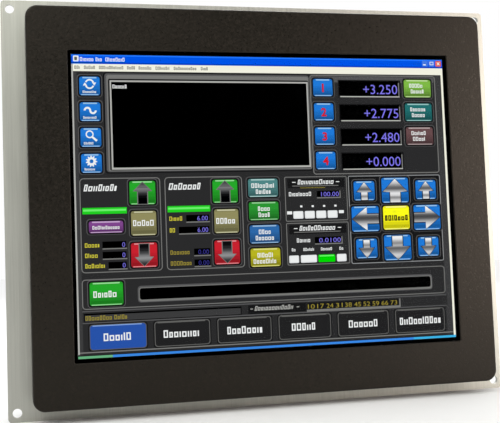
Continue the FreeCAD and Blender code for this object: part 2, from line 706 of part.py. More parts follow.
def make_components():
    group("video_board_parts",
          blocks("video_chip", [(10.0, -88.0, 28.0, 28.0, 1.6), (-30.0, -70.0, 12.0, 18.0, 1.2),
                                (5.0, -57.0, 32.0, 6.0, 3.8), (45.0, -60.0, 10.0, 5.0, 1.5),
                                (48.0, -92.0, 9.0, 24.0, 6.0), (-42.0, -100.0, 8.0, 12.0, 2.0)])
          + cans("video_can", [(-12.0, -64.0, 6.3, 7.7), (34.0, -76.0, 8.0, 10.0),
                               (34.0, -88.0, 8.0, 10.0), (-28.0, -92.0, 6.3, 7.7)]))
    group("touch_board_parts",
          blocks("touch_chip", [(118.0, -108.0, 12.0, 12.0, 1.4), (110.0, -90.5, 16.0, 4.6, 3.0),
                                (138.0, -100.0, 9.0, 6.0, 1.5), (96.0, -104.0, 5.0, 4.0, 1.2)])
          + cans("touch_can", [(142.0, -112.0, 5.0, 5.5)]))
    group("power_board_parts",
          blocks("power_chip", [(-100.0, -92.0, 14.0, 14.0, 9.0), (-132.0, -76.0, 20.0, 8.0, 14.0),
                                (-82.0, -74.0, 16.0, 6.0, 8.0), (-118.0, -110.0, 16.0, 6.0, 6.0)])
          + cans("power_can", [(-138.0, -98.0, 12.5, 20.0), (-122.0, -94.0, 12.5, 20.0),
                               (-84.0, -90.0, 8.0, 12.0), (-100.0, -74.0, 8.0, 12.0)]))
    group("backlight_board_parts",
          blocks("backlight_chip", [(-40.0, 87.0, 12.0, 5.0, 3.4), (-8.0, 75.0, 16.0, 16.0, 8.0),
                                    (24.0, 75.0, 10.0, 10.0, 1.6), (48.0, 66.0, 8.0, 5.0, 5.0)])
          + cans("backlight_can", [(-28.0, 74.0, 8.0, 11.0), (40.0, 80.0, 8.0, 11.0)]))


def make_cables():
    start = module_back + d.timing_thick + 1.6
    ribbon("display_cable", 5.0, 25.0,
           [(start, d.timing_z - 3.0), (start, d.timing_z - 6.0), (3.5, -38.0), (11.0, -47.0),
            (11.0, -53.9)], 0.8)
    ribbon("backlight_cable", -40.0, 10.0,
           [(module_back + 0.8, 118.0), (module_back + 0.8, 112.0), (module_back + 5.0, 105.0),
            (0.0, 99.0), (4.0, 96.0), (11.0, 94.5), (11.0, 89.6)], 1.2)


# ---------------------------------------------------------------- housing and rear cover

def cover_screw_places():
    x = d.housing_width / 2 - d.cover_screw_inset
    z = d.housing_height / 2 - d.cover_screw_inset
    return corners(x, z - 14.0) + corners(x / 2, z)


def make_housing():
    body = new_body("housing")
    deep, sheet_in = d.housing_depth, 2 * d.sheet_thick
    inner_width, inner_height = d.housing_width - sheet_in, d.housing_height - sheet_in
    inner_corner = d.housing_corner - d.sheet_thick
    pad(body, "XZ", 0.0, deep,
        round_rect(d.housing_width, d.housing_height, d.housing_corner))
    pocket(body, "XZ", d.sheet_thick, deep - d.sheet_thick,
           round_rect(inner_width, inner_height, inner_corner))
    pocket(body, "XZ", 0.0, d.sheet_thick,
           round_rect(d.housing_width - 2 * d.front_flange,
                      d.housing_height - 2 * d.front_flange, d.tray_corner))
    pocket(body, "XZ", deep - d.sheet_thick, deep,
           round_rect(d.housing_width - 2 * d.rear_flange,
                      d.housing_height - 2 * d.rear_flange, d.tray_corner))
    pocket(body, "XZ", 0.0, d.sheet_thick,
           *[circle(d.m4_free, x, z) for x, z in BEZEL_SCREWS])
    pocket(body, "XZ", deep - d.sheet_thick, deep,
           *[circle(d.m3_bore, x, z) for x, z in cover_screw_places()])
    pocket(body, "XY", floor_out, floor_in,
           *[rect(d.d_cut_width, d.d_cut_height, x, d.socket_y) for x in (d.video_x, d.serial_x)],
           rect(d.usb_width + d.usb_cut_play, d.usb_height + d.usb_cut_play, d.usb_x, usb_y),
           rect(d.dc_width + d.dc_cut_play, d.dc_deep + d.dc_cut_play, d.dc_x, dc_y),
           rect(d.switch_width + d.switch_cut_play, d.switch_thick + d.switch_cut_play,
                d.switch_x, d.switch_y),
           circle(d.earth_hole, d.earth_x, d.earth_y),
           *[circle(d.m3_free, x + side * d.post_pitch / 2, d.socket_y)
             for x in (d.video_x, d.serial_x) for side in (-1.0, 1.0)])
    for low, high, x, count in ((floor_out, floor_in, 22.0, 9), (-floor_in, -floor_out, -120.0, 41)):
        slot = pocket(body, "XY", low, high,
                      round_rect(d.vent_width, d.vent_length, d.vent_width / 2 - d.slot_round,
                                 x, d.vent_y))
        row(body, slot, "H_Axis", d.vent_pitch * (count - 1), count)


def make_cover():
    body = new_body("rear_cover")
    pad(body, "XZ", d.housing_depth, cover_back,
        round_rect(d.housing_width, d.housing_height, d.housing_corner))
    pad(body, "XZ", cover_back, raised_back,
        round_rect(d.raised_width, d.raised_height, d.raised_corner))
    dress(body, "Fillet", flat_at(raised_back), d.raised_round)
    under = 2 * d.sheet_thick
    pocket(body, "XZ", d.housing_depth, raised_back - d.sheet_thick,
           round_rect(d.raised_width - under, d.raised_height - under,
                      d.raised_corner - d.sheet_thick))
    pocket(body, "XZ", d.housing_depth, cover_back,
           *[circle(d.m3_free, x, z) for x, z in cover_screw_places()])
    through = raised_back - d.sheet_thick
    keys = [circle(d.key_size + 2 * d.key_play, x, d.key_z) for x in key_places()]
    posts = [circle(d.m3_free, x, d.key_z) for x in key_posts()]
    nuts = [circle(d.insert_seat, x, z) for x, z in corners(d.vesa_pitch / 2, d.vesa_pitch / 2)]
    pocket(body, "XZ", through, raised_back, *keys, *posts, *nuts)
    for x, z in ((d.grille_left, d.grille_low), (d.grille_right, d.grille_low),
                 (d.grille_left, d.grille_high)):
        slot = pocket(body, "XZ", through, raised_back,
                      round_rect(d.grille_width, d.grille_length,
                                 d.grille_width / 2 - d.slot_round, x, z))
        row(body, slot, "H_Axis", d.grille_pitch * 8, 9)
    screws("cover_screws", [(x, cover_back, z) for x, z in cover_screw_places()], "-y", "m3",
           d.sheet_thick * 2 + 1.5)
    screws("bezel_screws", [(x, d.sheet_thick, z) for x, z in BEZEL_SCREWS], "-y", "m4",
           d.sheet_thick + d.plate_thick + 12.0)
    inserts = []
    for index, (x, z) in enumerate(corners(d.vesa_pitch / 2, d.vesa_pitch / 2)):
        foot = (x, through - d.insert_height, z)
        collar = cylinder(f"insert_{index}_collar", foot, "+y", d.insert_collar, d.insert_height)
        spigot = cylinder(f"insert_{index}_spigot", (x, through, z), "+y", d.insert_spigot,
                          d.sheet_thick)
        bore = cylinder(f"insert_{index}_bore", foot, "+y", d.vesa_bore,
                        d.insert_height + d.sheet_thick)
        inserts.append(cut(f"insert_{index}", fuse(f"insert_{index}_blank", [collar, spigot]),
                           bore))
    group("vesa_inserts", inserts)


# ---------------------------------------------------------------- connectors

def d_outline(wide, narrow, deep, x, y):
    """Outline of a D-shaped connector, wider on the side that faces the board."""
    return polygon([(x - wide / 2, y - deep / 2), (x + wide / 2, y - deep / 2),
                    (x + narrow / 2, y + deep / 2), (x - narrow / 2, y + deep / 2)])


def make_d_socket(name, x, pins):
    """Metal shell and plastic insert of a D-shaped socket; pins is a list of (dx, dy)."""
    y = d.socket_y
    shell_low, flange_top = floor_out - d.shell_proud, floor_in + 0.8
    wall, gap = 2 * d.d_shell, 2 * (d.d_shell + d.d_play)
    shell = new_body(f"{name}_shell")
    pad(shell, "XY", floor_in, flange_top, rect(d.d_flange_width, d.d_flange_height, x, y))
    pad(shell, "XY", shell_low, floor_in, d_outline(d.d_wide, d.d_narrow, d.d_deep, x, y))
    pocket(shell, "XY", shell_low, flange_top,
           d_outline(d.d_wide - wall, d.d_narrow - wall, d.d_deep - wall, x, y))
    pocket(shell, "XY", floor_in, flange_top,
           *[circle(d.m3_bore, x + side * d.post_pitch / 2, y) for side in (-1.0, 1.0)])
    insert = new_body(f"{name}_insert")
    pad(insert, "XY", shell_low + 0.5, flange_top,
        d_outline(d.d_wide - gap, d.d_narrow - gap, d.d_deep - gap, x, y))
    pad(insert, "XY", flange_top, flange_top + d.d_block_long,
        rect(d.d_block_width, d.d_block_high, x, board_back + d.d_block_high / 2))
    pocket(insert, "XY", shell_low, shell_low + 5.0,
           *[circle(d.pin_hole, x + dx, y + dy) for dx, dy in pins])


def make_sockets():
    video_pins = [(dx + shift, dy) for dy, shift in ((-1.98, 0.0), (0.0, 1.14), (1.98, 0.0))
                  for dx in (-4.9, -2.61, -0.32, 1.97, 4.26)]
    serial_pins = [(dx, -1.42) for dx in (-5.54, -2.77, 0.0, 2.77, 5.54)]
    serial_pins += [(dx, 1.42) for dx in (-4.16, -1.39, 1.39, 4.16)]
    make_d_socket("video_socket", d.video_x, video_pins)
    make_d_socket("serial_socket", d.serial_x, serial_pins)
    posts = []
    for label, x in (("video", d.video_x), ("serial", d.serial_x)):
        for number, side in enumerate((-1.0, 1.0)):
            at = (x + side * d.post_pitch / 2, d.socket_y, floor_out)
            head = hexagon(f"{label}_post_{number}_hex", at, "-z", d.post_hex, d.post_length)
            stem = cylinder(f"{label}_post_{number}_stem", at, "+z", d.m3_shank,
                            d.sheet_thick + 0.8)
            bore = cylinder(f"{label}_post_{number}_bore", step(at, "-z", d.post_length), "+z",
                            d.post_bore, d.post_length - 0.6)
            posts.append(cut(f"{label}_post_{number}",
                             fuse(f"{label}_post_{number}_blank", [head, stem]), bore))
    group("jack_posts", posts)
    low, high = floor_out - 0.6, floor_in + d.usb_long
    wall, gap = 2 * d.usb_shell, 2 * (d.usb_shell + d.usb_play)
    shell = new_body("usb_socket_shell")
    pad(shell, "XY", low, high, rect(d.usb_width, d.usb_height, d.usb_x, usb_y))
    pocket(shell, "XY", low, high - 1.0,
           rect(d.usb_width - wall, d.usb_height - wall, d.usb_x, usb_y))
    insert = new_body("usb_socket_insert")
    mouth = low + 0.4
    pad(insert, "XY", mouth, high - 1.0,
        rect(d.usb_width - gap, d.usb_height - gap, d.usb_x, usb_y))
    pocket(insert, "XY", mouth, mouth + d.usb_mouth_deep,
           rect(d.usb_mouth_width, d.usb_mouth_height, d.usb_x, usb_y))
    pad(insert, "XY", mouth + 1.0, mouth + d.usb_mouth_deep,
        rect(d.usb_tongue_width, d.usb_tongue_height, d.usb_x, usb_y))


def make_terminal():
    body = new_body("dc_terminal")
    low, high, back = d.dc_low, d.dc_low + d.dc_tall, board_back + d.dc_deep
    places = [d.dc_x + offset * d.dc_pitch for offset in (-1.0, 0.0, 1.0)]
    pad(body, "XY", low, high, rect(d.dc_width, d.dc_deep, d.dc_x, dc_y))
    pocket(body, "XY", low, low + 8.0,
           *[rect(d.dc_mouth_width, d.dc_mouth_height, x, dc_y - 1.6) for x in places])
    screw_y, screw_z = back - d.dc_screw_deep, low + 2.5
    pocket(body, "XZ", screw_y, back, *[circle(d.dc_screw_hole, x, screw_z) for x in places])
    heads = []
    for index, x in enumerate(places):
        head = cylinder(f"terminal_screw_{index}_head", (x, screw_y, screw_z), "+y",
                        d.dc_screw, 2.6)
        groove = box(f"terminal_screw_{index}_slot", (x - 2.0, screw_y + 1.8, screw_z - 0.3),
                     (x + 2.0, back, screw_z + 0.3))
        heads.append(cut(f"terminal_screw_{index}", head, groove))
    group("terminal_screws", heads)


def make_earth_stud():
    at = (d.earth_x, d.earth_y, floor_in)
    foot = cylinder("earth_foot", at, "+z", d.earth_foot, 1.2)
    shank = cylinder("earth_shank", at, "-z", d.m4_shank, d.sheet_thick + d.earth_length)
    keep("earth_stud", fuse("earth_stud_piece", [foot, shank]))
    out = (d.earth_x, d.earth_y, floor_out)
    washer = cylinder("earth_washer", out, "-z", d.earth_washer, 0.8)
    nut = hexagon("earth_hexagon", step(out, "-z", 0.8), "-z", d.earth_hex, 3.2)
    bore = cylinder("earth_nut_bore", out, "-z", d.m4_bore, 4.0)
    keep("earth_nut", cut("earth_nut_piece", fuse("earth_nut_blank", [washer, nut]), bore))


# ---------------------------------------------------------------- rocker switch

def make_switch():
    body = new_body("switch_housing")
    lip_low, top = floor_out - d.switch_lip, floor_out + d.switch_tall
    pivot_z = floor_out + d.pivot_in
    half_thick = d.switch_thick / 2
    pad(body, "XY", floor_out, top, rect(d.switch_width, d.switch_thick, d.switch_x, d.switch_y))
    pad(body, "XY", lip_low, floor_out,
        round_rect(d.switch_lip_width, d.switch_lip_thick, 1.0, d.switch_x, d.switch_y))
    pocket(body, "XY", lip_low, floor_out + 8.0,
           rect(16.6, d.rocker_thick + 0.6, d.switch_x, d.switch_y))
    hole = d.rocker_pin + 2 * d.rocker_play
    pocket(body, "XZ", d.switch_y - half_thick, d.switch_y + half_thick,
           circle(hole, d.switch_x, pivot_z))
    for offset in (-6.0, 0.0, 6.0):
        pad(body, "XY", top, top + 7.0, rect(0.8, 4.8, d.switch_x + offset, d.switch_y))
    half, x, z = d.rocker_half, d.switch_x, pivot_z
    rocker = new_body("switch_rocker")
    pad(rocker, "XZ", d.switch_y - d.rocker_thick / 2, d.switch_y + d.rocker_thick / 2,
        polygon([(x - half, z - 3.6), (x - half * 0.55, z - 3.5), (x, z - 3.0),
                 (x + half * 0.55, z - 3.5), (x + half, z - 3.6), (x + half, z - 0.4),
                 (x + 3.0, z + 1.8), (x - 3.0, z + 1.8), (x - half, z - 0.4)]))
    pad(rocker, "XZ", d.switch_y - 6.0, d.switch_y + 6.0, circle(d.rocker_pin, x, z))
    axis_point = Vector(float(x), float(d.switch_y), float(z))
    turn = Rotation(Vector(0, 1, 0), float(d.rocker_tilt))
    rocker.Placement = Placement(axis_point - turn.multVec(axis_point), turn)


# ---------------------------------------------------------------- setting keys

def key_places():
    return [d.key_first_x + index * d.key_pitch for index in range(5)]


def key_posts():
    middle = d.key_first_x + 2 * d.key_pitch
    reach = d.key_board_width / 2 - 5.0
    return [middle - reach, middle + reach]


def make_keys():
    face_in = raised_back - d.sheet_thick
    board_low = face_in - 7.6
    board_high = board_low + d.board_thick
    middle = d.key_first_x + 2 * d.key_pitch
    body = new_body("key_board")
    pad(body, "XZ", board_low, board_high,
        rect(d.key_board_width, d.key_board_height, middle, d.key_z))
    pocket(body, "XZ", board_low, board_high, *[circle(d.m3_free, x, d.key_z) for x in key_posts()])
    switches, posts, fixings = [], [], []
    top = board_high + 3.6
    for index, x in enumerate(key_places(), start=1):
        base = box(f"key_switch_{index}_block", (x - 3.1, board_high, d.key_z - 3.1),
                   (x + 3.1, top, d.key_z + 3.1))
        well = cylinder(f"key_switch_{index}_well", (x, top - 2.4, d.key_z), "+y", 3.8, 2.4)
        switches.append(cut(f"key_switch_{index}", base, well))
        cap = new_body(f"key_cap_{index}")
        flange_high = face_in - 0.2
        pad(cap, "XZ", flange_high, raised_back + d.key_proud, circle(d.key_size, x, d.key_z))
        dress(cap, "Fillet", flat_at(raised_back + d.key_proud), 0.6)
        pad(cap, "XZ", flange_high - 1.0, flange_high, circle(d.key_size + 2.0, x, d.key_z))
        pad(cap, "XZ", top - 1.6, flange_high - 1.0, circle(3.4, x, d.key_z))
    for index, x in enumerate(key_posts(), start=1):
        post = cylinder(f"key_post_{index}_body", (x, board_high, d.key_z), "+y", 5.0,
                        face_in - board_high)
        bore = cylinder(f"key_post_{index}_bore", (x, board_high, d.key_z), "+y", d.m3_bore,
                        face_in - board_high)
        posts.append(cut(f"key_post_{index}", post, bore))
        fixings.append(screw(f"key_screw_{index}", (x, board_low, d.key_z), "+y", "m3",
                             face_in - board_low - 0.5))
        fixings.append(screw(f"key_outer_{index}", (x, raised_back, d.key_z), "-y", "m3",
                             d.sheet_thick * 1.2))
    group("key_switches", switches)
    group("key_standoffs", posts)
    group("key_screws", fixings)


# ---------------------------------------------------------------- build, check and write

def finish():
    doc.recompute()
    for item in doc.Objects:
        if {"Invalid", "Error"} & set(item.State):
            raise RuntimeError(f"{item.Name}: {item.State}")
    os.makedirs("parts", exist_ok=True)
    for item in NODES:
        shape = item.Shape
        if shape.isNull() or not shape.isValid():
            raise RuntimeError(f"{item.Label}: the shape is not valid")
        shape.exportStep(f"parts/{item.Label}.step")
        size = shape.BoundBox
        print(f"{item.Label}: {len(shape.Solids)} solids, {shape.Volume:.0f} mm3, "
              f"x {size.XMin:.2f}..{size.XMax:.2f} y {size.YMin:.2f}..{size.YMax:.2f} "
              f"z {size.ZMin:.2f}..{size.ZMax:.2f}")
    print(len(NODES), "pieces")


make_plate()
make_seals()
make_bezel()
make_touch_sensor()
make_module()
make_timing_board()
make_brackets()
make_tray()
make_boards()
make_components()
make_cables()
make_housing()
make_cover()
make_sockets()
make_terminal()
make_earth_stud()
make_switch()
make_keys()
finish()
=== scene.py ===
import json
import math
import random

import bmesh
import bpy
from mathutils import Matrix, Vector


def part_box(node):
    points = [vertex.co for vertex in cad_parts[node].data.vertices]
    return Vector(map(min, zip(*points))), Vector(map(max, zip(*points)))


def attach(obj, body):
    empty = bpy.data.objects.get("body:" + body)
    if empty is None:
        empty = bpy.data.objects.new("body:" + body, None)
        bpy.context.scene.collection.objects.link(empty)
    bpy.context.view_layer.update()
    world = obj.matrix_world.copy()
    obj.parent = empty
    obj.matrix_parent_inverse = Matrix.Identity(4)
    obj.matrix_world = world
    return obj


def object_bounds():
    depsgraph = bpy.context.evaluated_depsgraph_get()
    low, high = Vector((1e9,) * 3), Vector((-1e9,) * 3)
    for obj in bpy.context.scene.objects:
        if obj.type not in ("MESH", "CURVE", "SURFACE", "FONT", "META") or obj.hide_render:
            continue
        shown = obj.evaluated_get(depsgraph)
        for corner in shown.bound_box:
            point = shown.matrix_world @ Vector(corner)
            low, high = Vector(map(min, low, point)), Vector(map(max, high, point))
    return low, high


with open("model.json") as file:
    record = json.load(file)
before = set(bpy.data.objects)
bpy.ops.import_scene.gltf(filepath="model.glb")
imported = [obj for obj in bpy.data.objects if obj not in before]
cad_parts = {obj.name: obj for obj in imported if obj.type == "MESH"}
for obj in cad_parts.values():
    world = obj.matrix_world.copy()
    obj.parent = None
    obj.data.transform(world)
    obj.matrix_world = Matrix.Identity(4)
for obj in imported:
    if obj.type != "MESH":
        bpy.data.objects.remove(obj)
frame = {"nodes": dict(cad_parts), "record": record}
cad_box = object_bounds()

MM = 0.001
nodes = frame["nodes"]
scene = bpy.context.scene


# ---------------------------------------------------------------- camera and light

# the camera comes from a fit to the corners of plate, bezel and picture
SENSOR_WIDTH, LENS = 36.0, 64.583
CAMERA_SHIFT = (0.0625, -0.0302)
CAMERA_PLACE = (-0.19511, -0.70186, -0.04108)
CAMERA_TURN = (93.752, 1.992, -12.676)
CLIP_NEAR, CLIP_FAR = 0.01, 50.0


def add_camera():
    """Camera left of the panel's centre and a little below it, turned to the right."""
    data = bpy.data.cameras.new("camera")
    data.sensor_width, data.lens = SENSOR_WIDTH, LENS
    data.shift_x, data.shift_y = CAMERA_SHIFT
    data.clip_start, data.clip_end = CLIP_NEAR, CLIP_FAR
    camera = bpy.data.objects.new("camera", data)
    camera.location = CAMERA_PLACE
    camera.rotation_euler = [math.radians(angle) for angle in CAMERA_TURN]
    scene.collection.objects.link(camera)
    scene.camera = camera


def add_area(name, place, target, size, power, colour):
    """Soft rectangular lamp that faces the target."""
    data = bpy.data.lights.new(name, "AREA")
    data.shape = "RECTANGLE"
    data.size, data.size_y = size
    data.energy = power
    data.color = colour
    lamp = bpy.data.objects.new(name, data)
    lamp.location = place
    lamp.rotation_mode = "QUATERNION"
    lamp.rotation_quaternion = (Vector(target) - Vector(place)).to_track_quat("-Z", "Y")
    scene.collection.objects.link(lamp)


# name, place, target, size, watts and colour of each lamp
LAMPS = (
    ("light_top", (-0.5, -1.15, 0.95), (0.0, 0.0, 0.0), (1.1, 0.7), 9.0, (0.98, 1.0, 0.92)),
    ("light_right", (0.87, -0.94, -0.03), (0.1, 0.0, 0.0), (0.4, 1.0), 9.5, (1.0, 0.87, 0.78)),
    ("light_rear", (0.4, 1.5, 1.1), (0.0, 0.0, 0.0), (1.2, 1.2), 12.0, (1.0, 1.0, 1.0)),
)
# the room's light where it is dimmest, and the directions between which it rises to full
ROOM_DIM = 0.2
ROOM_RAMPS = (("Y", -0.9, -0.3), ("Z", 0.1, 0.75))


def add_light():
    """White room, dimmer low in front of the panel except to the camera, and soft lamps."""
    for lamp in LAMPS:
        add_area(*lamp)
    world = bpy.data.worlds.new("studio")
    world.use_nodes = True
    tree = world.node_tree
    place = tree.nodes.new("ShaderNodeTexCoord")
    apart = tree.nodes.new("ShaderNodeSeparateXYZ")
    tree.links.new(place.outputs["Generated"], apart.inputs["Vector"])
    room = tree.nodes.new("ShaderNodeLightPath").outputs["Is Camera Ray"]
    for axis, dim, full in ROOM_RAMPS:
        ramp = tree.nodes.new("ShaderNodeMapRange")
        tree.links.new(apart.outputs[axis], ramp.inputs["Value"])
        for socket, number in (("From Min", dim), ("From Max", full), ("To Min", ROOM_DIM),
                               ("To Max", 1.0)):
            ramp.inputs[socket].default_value = number
        brighter = tree.nodes.new("ShaderNodeMath")
        brighter.operation = "MAXIMUM"
        tree.links.new(room, brighter.inputs[0])
        tree.links.new(ramp.outputs["Result"], brighter.inputs[1])
        room = brighter.outputs["Value"]
    background = tree.nodes["Background"]
    background.inputs["Color"].default_value = (1.0, 1.0, 1.0, 1.0)
    tree.links.new(room, background.inputs["Strength"])
    scene.world = world
    scene.view_settings.view_transform = "Standard"


# ---------------------------------------------------------------- materials

BEVEL_SAMPLES, RECESS_SAMPLES = 4, 8
# cosines between the rounded and the true normal on a flat and on an edge, and how open a face
# is in a recess and in the clear
EDGE_COSINES = (0.995, 0.85)
OPEN_BAND = (0.25, 0.9)
# parts of a noise pattern's range that are stretched to the full range
GRAIN_BAND = (0.3, 0.7)
CLOUD_BAND = (0.35, 0.68)
SHEEN_BAND = (0.35, 0.7)
STAIN_BAND = (0.45, 0.75)
WORN_BAND = (0.52, 0.78)
# the colour sockets of a Mix node, which share their names with its other types
MIX_FIRST, MIX_SECOND, MIX_RESULT = 6, 7, 2


class Finish:
    """A node material: a Principled surface, and short ways to feed it with patterns."""

    def __init__(self, name, **values):
        self.name = name
        self.mat = bpy.data.materials.new(name)
        self.mat.use_nodes = True
        self.tree = self.mat.node_tree
        self.surface = self.tree.nodes["Principled BSDF"]
        self.place = self.tree.nodes.new("ShaderNodeTexCoord").outputs["Object"]
        for label, value in values.items():
            socket = self.surface.inputs[label.replace("_", " ")]
            is_colour = socket.type == "RGBA" and len(value) == 3
            socket.default_value = (*value, 1.0) if is_colour else value

    def feed(self, node, socket, value):
        """Links an output to a socket, or sets the socket to a number or colour."""
        if isinstance(value, bpy.types.NodeSocket):
            self.tree.links.new(value, node.inputs[socket])
        else:
            node.inputs[socket].default_value = value

    def stretched(self, scale):
        """The surface's own coordinates, scaled by three factors."""
        node = self.tree.nodes.new("ShaderNodeMapping")
        self.feed(node, "Vector", self.place)
        self.feed(node, "Scale", scale)
        return node.outputs["Vector"]

    def noise(self, scale, detail=2.0, roughness=0.5, stretch=(1.0, 1.0, 1.0)):
        """Cloudy pattern; stretch scales it on each axis."""
        node = self.tree.nodes.new("ShaderNodeTexNoise")
        self.feed(node, "Vector", self.stretched(stretch))
        self.feed(node, "Scale", scale)
        self.feed(node, "Detail", detail)
        self.feed(node, "Roughness", roughness)
        return node.outputs["Fac"]

    def cells(self, scale, feature="F1"):
        """Distance from the middles or edges of irregular cells."""
        node = self.tree.nodes.new("ShaderNodeTexVoronoi")
        node.feature = feature
        self.feed(node, "Vector", self.place)
        self.feed(node, "Scale", scale)
        return node.outputs["Distance"]

    def bands(self, scale, axis, distortion=0.0):
        """Stripes across an axis."""
        node = self.tree.nodes.new("ShaderNodeTexWave")
        node.bands_direction = axis
        self.feed(node, "Vector", self.place)
        self.feed(node, "Scale", scale)
        self.feed(node, "Distortion", distortion)
        return node.outputs["Fac"]

    def spread(self, value, low, high, to_low=0.0, to_high=1.0):
        """Stretches a value from one range to another, clamped."""
        node = self.tree.nodes.new("ShaderNodeMapRange")
        self.feed(node, "Value", value)
        for socket, number in (("From Min", low), ("From Max", high),
                               ("To Min", to_low), ("To Max", to_high)):
            self.feed(node, socket, number)
        return node.outputs["Result"]

    def mixed(self, factor, first, second):
        """A colour between two, the second where the factor is 1."""
        node = self.tree.nodes.new("ShaderNodeMix")
        node.data_type = "RGBA"
        self.tree.links.new(factor, node.inputs["Factor"])
        for socket, colour in ((MIX_FIRST, first), (MIX_SECOND, second)):
            self.feed(node, socket, (*colour, 1.0) if isinstance(colour, tuple) else colour)
        return node.outputs[MIX_RESULT]

    def maths(self, operation, first, second):
        """One operation on two values."""
        node = self.tree.nodes.new("ShaderNodeMath")
        node.operation = operation
        self.feed(node, 0, first)
        self.feed(node, 1, second)
        return node.outputs["Value"]

    def edges(self, radius):
        """Near 1 along the sharp edges of a shape and 0 on its flats."""
        bevel = self.tree.nodes.new("ShaderNodeBevel")
        bevel.samples = BEVEL_SAMPLES
        self.feed(bevel, "Radius", radius)
        shape = self.tree.nodes.new("ShaderNodeNewGeometry")
        dot = self.tree.nodes.new("ShaderNodeVectorMath")
        dot.operation = "DOT_PRODUCT"
        self.feed(dot, 0, bevel.outputs["Normal"])
        self.feed(dot, 1, shape.outputs["Normal"])
        return self.spread(dot.outputs["Value"], *EDGE_COSINES)

    def hollows(self, reach):
        """Near 1 in small recesses and 0 on open faces."""
        near = self.tree.nodes.new("ShaderNodeAmbientOcclusion")
        near.samples = RECESS_SAMPLES
        self.feed(near, "Distance", reach)
        return self.spread(near.outputs["AO"], *OPEN_BAND, 1.0, 0.0)

    def colour(self, value):
        self.feed(self.surface, "Base Color", value)
        return self

    def rough(self, value):
        self.feed(self.surface, "Roughness", value)
        return self

    def bump(self, height, distance, strength=1.0, round_edges=0.0):
        """Raises the surface by a height pattern, with its sharp edges rounded if asked."""
        node = self.tree.nodes.new("ShaderNodeBump")
        self.feed(node, "Height", height)
        self.feed(node, "Distance", distance)
        self.feed(node, "Strength", strength)
        if round_edges:
            bevel = self.tree.nodes.new("ShaderNodeBevel")
            bevel.samples = BEVEL_SAMPLES
            self.feed(bevel, "Radius", round_edges)
            self.feed(node, "Normal", bevel.outputs["Normal"])
        self.feed(self.surface, "Normal", node.outputs["Normal"])
        return self


def tinted(colour, gain):
    """A colour made lighter or darker by a factor, with its channels held at 1."""
    return tuple(min(channel * gain, 1.0) for channel in colour)


def brushed_metal(name, light, dark, grain, rough=(0.3, 0.5), broad_share=0.4, broad_grain=0.22,
                  wear=0.3, edge=0.0004, depth=0.00002):
    """Metal with a directional grain; grain holds the pattern's frequency on each axis."""
    finish = Finish(name, Metallic=1.0)
    fine = finish.noise(1.0, 3.0, 0.6, grain)
    broad = finish.noise(1.0, 2.0, 0.5, tuple(step * broad_grain for step in grain))
    streaks = finish.maths("ADD", finish.maths("MULTIPLY", fine, 1.0 - broad_share),
                          finish.maths("MULTIPLY", broad, broad_share))
    patches = finish.noise(9.0, 3.0)
    tone = finish.mixed(finish.spread(streaks, *GRAIN_BAND), dark, light)
    tone = finish.mixed(finish.spread(patches, *STAIN_BAND, 0.0, wear), tone, tinted(light, 0.9))
    finish.colour(finish.mixed(finish.edges(edge), tone, tinted(light, 1.25)))
    finish.rough(finish.spread(streaks, *GRAIN_BAND, *rough))
    return finish.bump(streaks, depth, 0.5)


def plated_metal(name, light, dark, rough=(0.22, 0.42), spots=900.0, edge=0.0002, recess=0.0016,
                 depth=0.00001):
    """Plating with soft mottling, fine spangle, lighter edges, and painted shade that darkens its
    recesses.
    """
    finish = Finish(name, Metallic=1.0)
    clouds = finish.noise(160.0, 4.0, 0.6)
    grains = finish.cells(spots)
    tone = finish.mixed(finish.spread(clouds, *CLOUD_BAND), dark, light)
    tone = finish.mixed(finish.edges(edge), tone, tinted(light, 1.3))
    # painted shade: the colour in recesses goes towards a near-black copy of the dark colour
    finish.colour(finish.mixed(finish.hollows(recess), tone, tinted(dark, 0.12)))
    finish.rough(finish.spread(clouds, *SHEEN_BAND, *rough))
    return finish.bump(grains, depth, 0.4)


def moulded(name, base, worn, texture, rough=(0.4, 0.6), depth=0.00002, specular=0.5, edge=0.0003,
            **values):
    """Moulded plastic, rubber or paint: a fine texture, faint mottling and paler edges."""
    finish = Finish(name, Specular_IOR_Level=specular, **values)
    grain = finish.noise(texture, 3.0, 0.6)
    clouds = finish.noise(14.0, 4.0, 0.6)
    tone = finish.mixed(finish.spread(clouds, *CLOUD_BAND), base, tinted(base, 0.82))
    tone = finish.mixed(finish.spread(grain, *WORN_BAND, 0.0, 0.35), tone, worn)
    finish.colour(finish.mixed(finish.maths("MULTIPLY", finish.edges(edge), 0.7), tone, worn))
    finish.rough(finish.spread(grain, *GRAIN_BAND, *rough))
    return finish.bump(grain, depth, 0.8, edge)


def circuit_board(name):
    """Green lacquer over copper tracks, with bare pads."""
    copper, lacquer, line = (0.035, 0.2, 0.085), (0.015, 0.11, 0.045), (0.02, 0.15, 0.06)
    pad, track_depth = (0.62, 0.6, 0.52), 0.00002
    finish = Finish(name, Roughness=0.35, Specular_IOR_Level=0.45)
    tracks = finish.spread(finish.cells(260.0, "DISTANCE_TO_EDGE"), 0.02, 0.07)
    lines = finish.spread(finish.bands(140.0, "DIAGONAL", 6.0), 0.45, 0.55)
    tone = finish.mixed(tracks, copper, lacquer)
    tone = finish.mixed(finish.maths("MULTIPLY", lines, 0.35), tone, line)
    pads = finish.spread(finish.cells(420.0), 0.1, 0.16, 1.0, 0.0)
    finish.colour(finish.mixed(finish.maths("MULTIPLY", pads, 0.8), tone, pad))
    return finish.bump(tracks, track_depth, 0.5)


def ribbon_cable(name, light, dark, pitch, depth=0.0001):
    """Flat cable whose wires run side by side along its length."""
    finish = Finish(name, Specular_IOR_Level=0.4)
    wires = finish.bands(1.0 / pitch / 2.0, "X")
    finish.colour(finish.mixed(finish.spread(wires, 0.2, 0.7), dark, light))
    finish.rough(finish.spread(finish.noise(300.0), *GRAIN_BAND, 0.4, 0.6))
    return finish.bump(wires, depth, 0.7)


